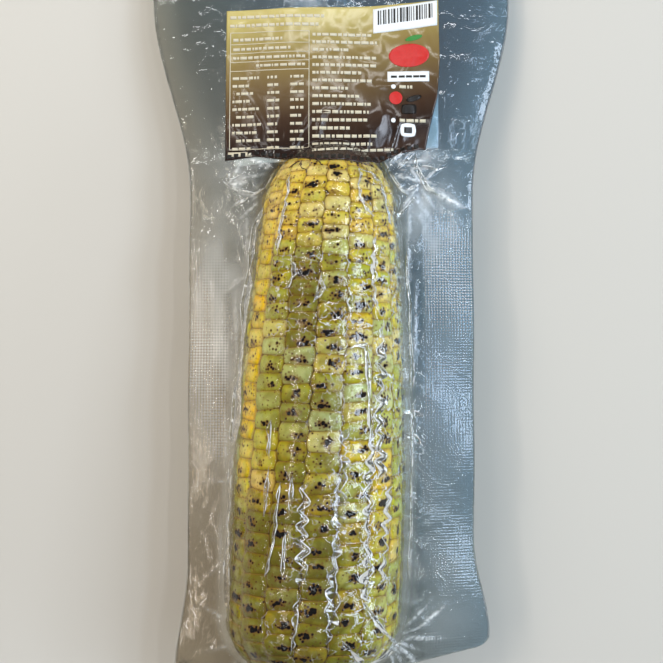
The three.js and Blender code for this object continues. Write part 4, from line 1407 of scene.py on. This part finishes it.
# Lays out the header: lines of dashes, a ruled table with three columns of them, a patch with upright bars,
# a plain disc with a leaf, and a few patches and dots below. Every place is in mm.
def makeInk():
    rng = np.random.default_rng(5)
    cream = inkMaterial("creamInk", "#c8c1ac")
    white = inkMaterial("whiteInk", "#dde2e6")
    black = inkMaterial("blackInk", "#15120f")
    small = []
    for x0, x1, y, height in (
        (-31.2, -2.0, 94.6, 1.3),
        (-31.2, -4.0, 91.9, 1.3),
        (-30.2, -15.0, 87.4, 1.3),
        (-30.2, -12.5, 84.4, 1.2),
        (-30.2, -8.0, 81.6, 1.2),
        (-23.0, -8.0, 79.0, 1.1),
    ):
        small += dashes(rng, x0, x1, y, height)
    for n in range(10):
        y = 75.2 - 2.43 * n
        small += dashes(rng, -30.2 + 1.2 * (n % 3 == 2), -22.5 + rng.uniform(-2.5, 2), y, 1.15)
        small += dashes(rng, -19.5, -15.8, y, 1.15) + dashes(rng, -12.5, -8.4, y, 1.15)
    for n in range(15):
        x1 = rng.uniform(3, 6) if n in (2, 7, 12) else rng.uniform(9, 14.5)  # three lines end a paragraph
        small += dashes(rng, -5.8, x1, 88.6 - 2.45 * n, 1.25)
    small += dashes(rng, -5.8, 19.0, 51.6, 1.1, 1.0, 0.05)
    small += dashes(rng, 20.6, 24.6, 72.4, 1.3) + dashes(rng, 20.6, 28.6, 61.9, 1.3)
    small += [bar(-31.4, 50.9, -24.0, 52.3)]
    inkShapes("smallPrint", small, cream, 1, 5)
    rules = [bar(-31.1, y, -6.7, y + 0.22) for y in (89.6, 85.9, 83.0, 80.2, 77.4, 53.0)]
    inkShapes("tableRules", rules, cream, 1, 40)
    sides = [bar(-31.1, 53.0, -30.88, 89.8), bar(-6.92, 53.0, -6.7, 89.8)]
    inkShapes("tableSides", sides, cream, 1, 1, 40)
    patches = [(22.6, 94.6, 9.85, 3.95, printForm["slant"], 0), (23.4, 75.7, 6.4, 1.6, 0.03, 0)]
    patches += [(23.2, 59.0, 2.4, 2.1, 0.0, 0.6), (18.8, 72.4, 0.7, 0.7, 0, 1), (18.7, 61.9, 0.7, 0.7, 0, 1)]
    inkShapes("whitePatches", patches, white, 1, 24, 10)
    codes, x = [], 14.2
    while x < 30.8:
        width = rng.choice([0.22, 0.3, 0.45, 0.6])
        y = 95.6 + printForm["slant"] * (x - 22.6)
        codes.append((x + width / 2, y, width / 2, 2.3, printForm["slant"], 0))
        x += width + rng.choice([0.25, 0.35, 0.55])
    codes += [(x, 75.7 + 0.03 * (x - 23.4), 0.9, 0.35, 0.03, 0) for x in (19.0, 21.4, 23.6, 25.8, 27.8)]
    border = np.arange(-31, 27, 2.1)
    borderYs = np.interp(border, printForm["bottomXs"], printForm["bottomYs"]) + 1.2
    codes += [(x, y, 0.7, 0.6, 0, 0) for x, y in zip(border, borderYs)]
    codes += [(23.2, 59.0, 1.2, 0.9, 0, 0), (23.5, 65.5, 2.3, 1.5, 0.05, 0.35), (25.0, 68.9, 2.3, 0.9, 0.3, 1)]
    inkShapes("blackMarks", codes, black, 2, 4, 6)
    discs = [(23.7, 82.4, 6.2, 3.7, 0.06, 1), (19.5, 68.9, 2.0, 2.0, 0, 1)]
    inkShapes("redMarks", discs, inkMaterial("redInk", "#bb2420"), 1, 20, 20)
    leaf = [(25.2, 88.0, 2.6, 0.85, 0.25, 1)]
    inkShapes("greenMarks", leaf, inkMaterial("greenInk", "#2f7d33"), 1, 14, 10)


makeInk()
print("print done")

floorForm = {"half": 1500.0, "top": -0.2, "grey": "#bcb9b3"}  # mm


# One wide face, a little under the lowest kernels. Smooth matt board, which gives the eye nothing.
def makeFloor():
    material, tree = newMaterial("paleFloor")
    settings = {"Base Color": colour(floorForm["grey"]), "Roughness": 0.75}
    addNode(tree, "OutputMaterial", None, {"Surface": addNode(tree, "BsdfPrincipled", settings)})
    half, top = floorForm["half"], floorForm["top"]
    corners = [(-half, -half, top), (half, -half, top), (half, half, top), (-half, half, top)]
    floor = addMesh("floor", corners, [[[0, 1, 2, 3]]], material)


# Place in metres, size, watts, colour, and whether film mirrors it; each is aimed at the cob. Wide dim
# panels, kept out of mirror reflections, give the soft light, and narrow ones give film its bright lines.
lightForm = {
    "ceiling": ((-0.4, 0.4, 0.55), (0.5, 0.5), 3.6, "#fff6e8", False),
    "fill": ((-0.8, -0.05, 0.5), (0.6, 1.0), 1.8, "#ffeeda", False),
    "window": ((1.05, 0.1, 0.75), (1.3, 1.1), 8.9, "#d8edf3", False),
    "pane": ((0.85, 0.2, 0.75), (0.3, 0.5), 5.2, "#e2eeff", True),
    "paneLow": ((0.9, -0.25, 0.42), (0.1, 0.4), 1.5, "#e2eeff", True),
    "sheen": ((0.56, 0.1, 0.9), (0.1, 0.6), 1.3, "#dcebff", True),
    "glow": ((-0.6, 0.0, 0.85), (0.1, 0.8), 0.8, "#fff0dc", True),
    "stripTop": ((0.05, 0.62, 0.6), (0.8, 0.03), 1.6, "#ffffff", True),
    "stripLeft": ((-0.66, 0.1, 0.8), (0.012, 1.1), 1.6, "#ffffff", True),
    "stripHigh": ((0.3, -0.1, 0.9), (0.01, 0.5), 0.8, "#ffffff", True),
}


worldForm = {"colour": "#dfe4ea", "strength": 0.14}


# Each panel is tilted from straight down by the angle to its aim, about the level line across it.
def makeLights():
    target = np.array([0.0, -0.01, 0.02])
    for name, (at, size, power, hexCode, mirrored) in lightForm.items():
        data = bpy.data.lights.new(name, "AREA")
        data.shape = "RECTANGLE"
        data.size, data.size_y = size
        data.energy = power
        data.color = colour(hexCode)[:3]
        lamp = bpy.data.objects.new(name, data)
        lamp.location = at
        lamp.visible_glossy = mirrored
        away = np.array(at) - target
        tilt = Matrix.Rotation(math.acos(away[2] / np.linalg.norm(away)), 3, (-away[1], away[0], 0))
        lamp.rotation_euler = tilt.to_euler()
        bpy.context.collection.objects.link(lamp)
    world = bpy.data.worlds.new("studio")
    world.use_nodes = True
    background = world.node_tree.nodes["Background"]
    background.inputs["Color"].default_value = colour(worldForm["colour"])
    background.inputs["Strength"].default_value = worldForm["strength"]
    bpy.context.scene.world = world


cameraForm = {"lens": 72.5, "sensor": 36.0, "place": (0.0, -0.002, 0.42)}


# Straight above the bag, looking down.
def makeCamera():
    data = bpy.data.cameras.new("above")
    data.lens = cameraForm["lens"]
    data.sensor_width = cameraForm["sensor"]
    data.clip_start = 0.02
    camera = bpy.data.objects.new("above", data)
    camera.location = cameraForm["place"]
    bpy.context.collection.objects.link(camera)
    bpy.context.scene.camera = camera


makeFloor()
makeLights()
makeCamera()
bpy.context.scene.view_settings.view_transform = "Standard"
print("floor, lights and camera done")
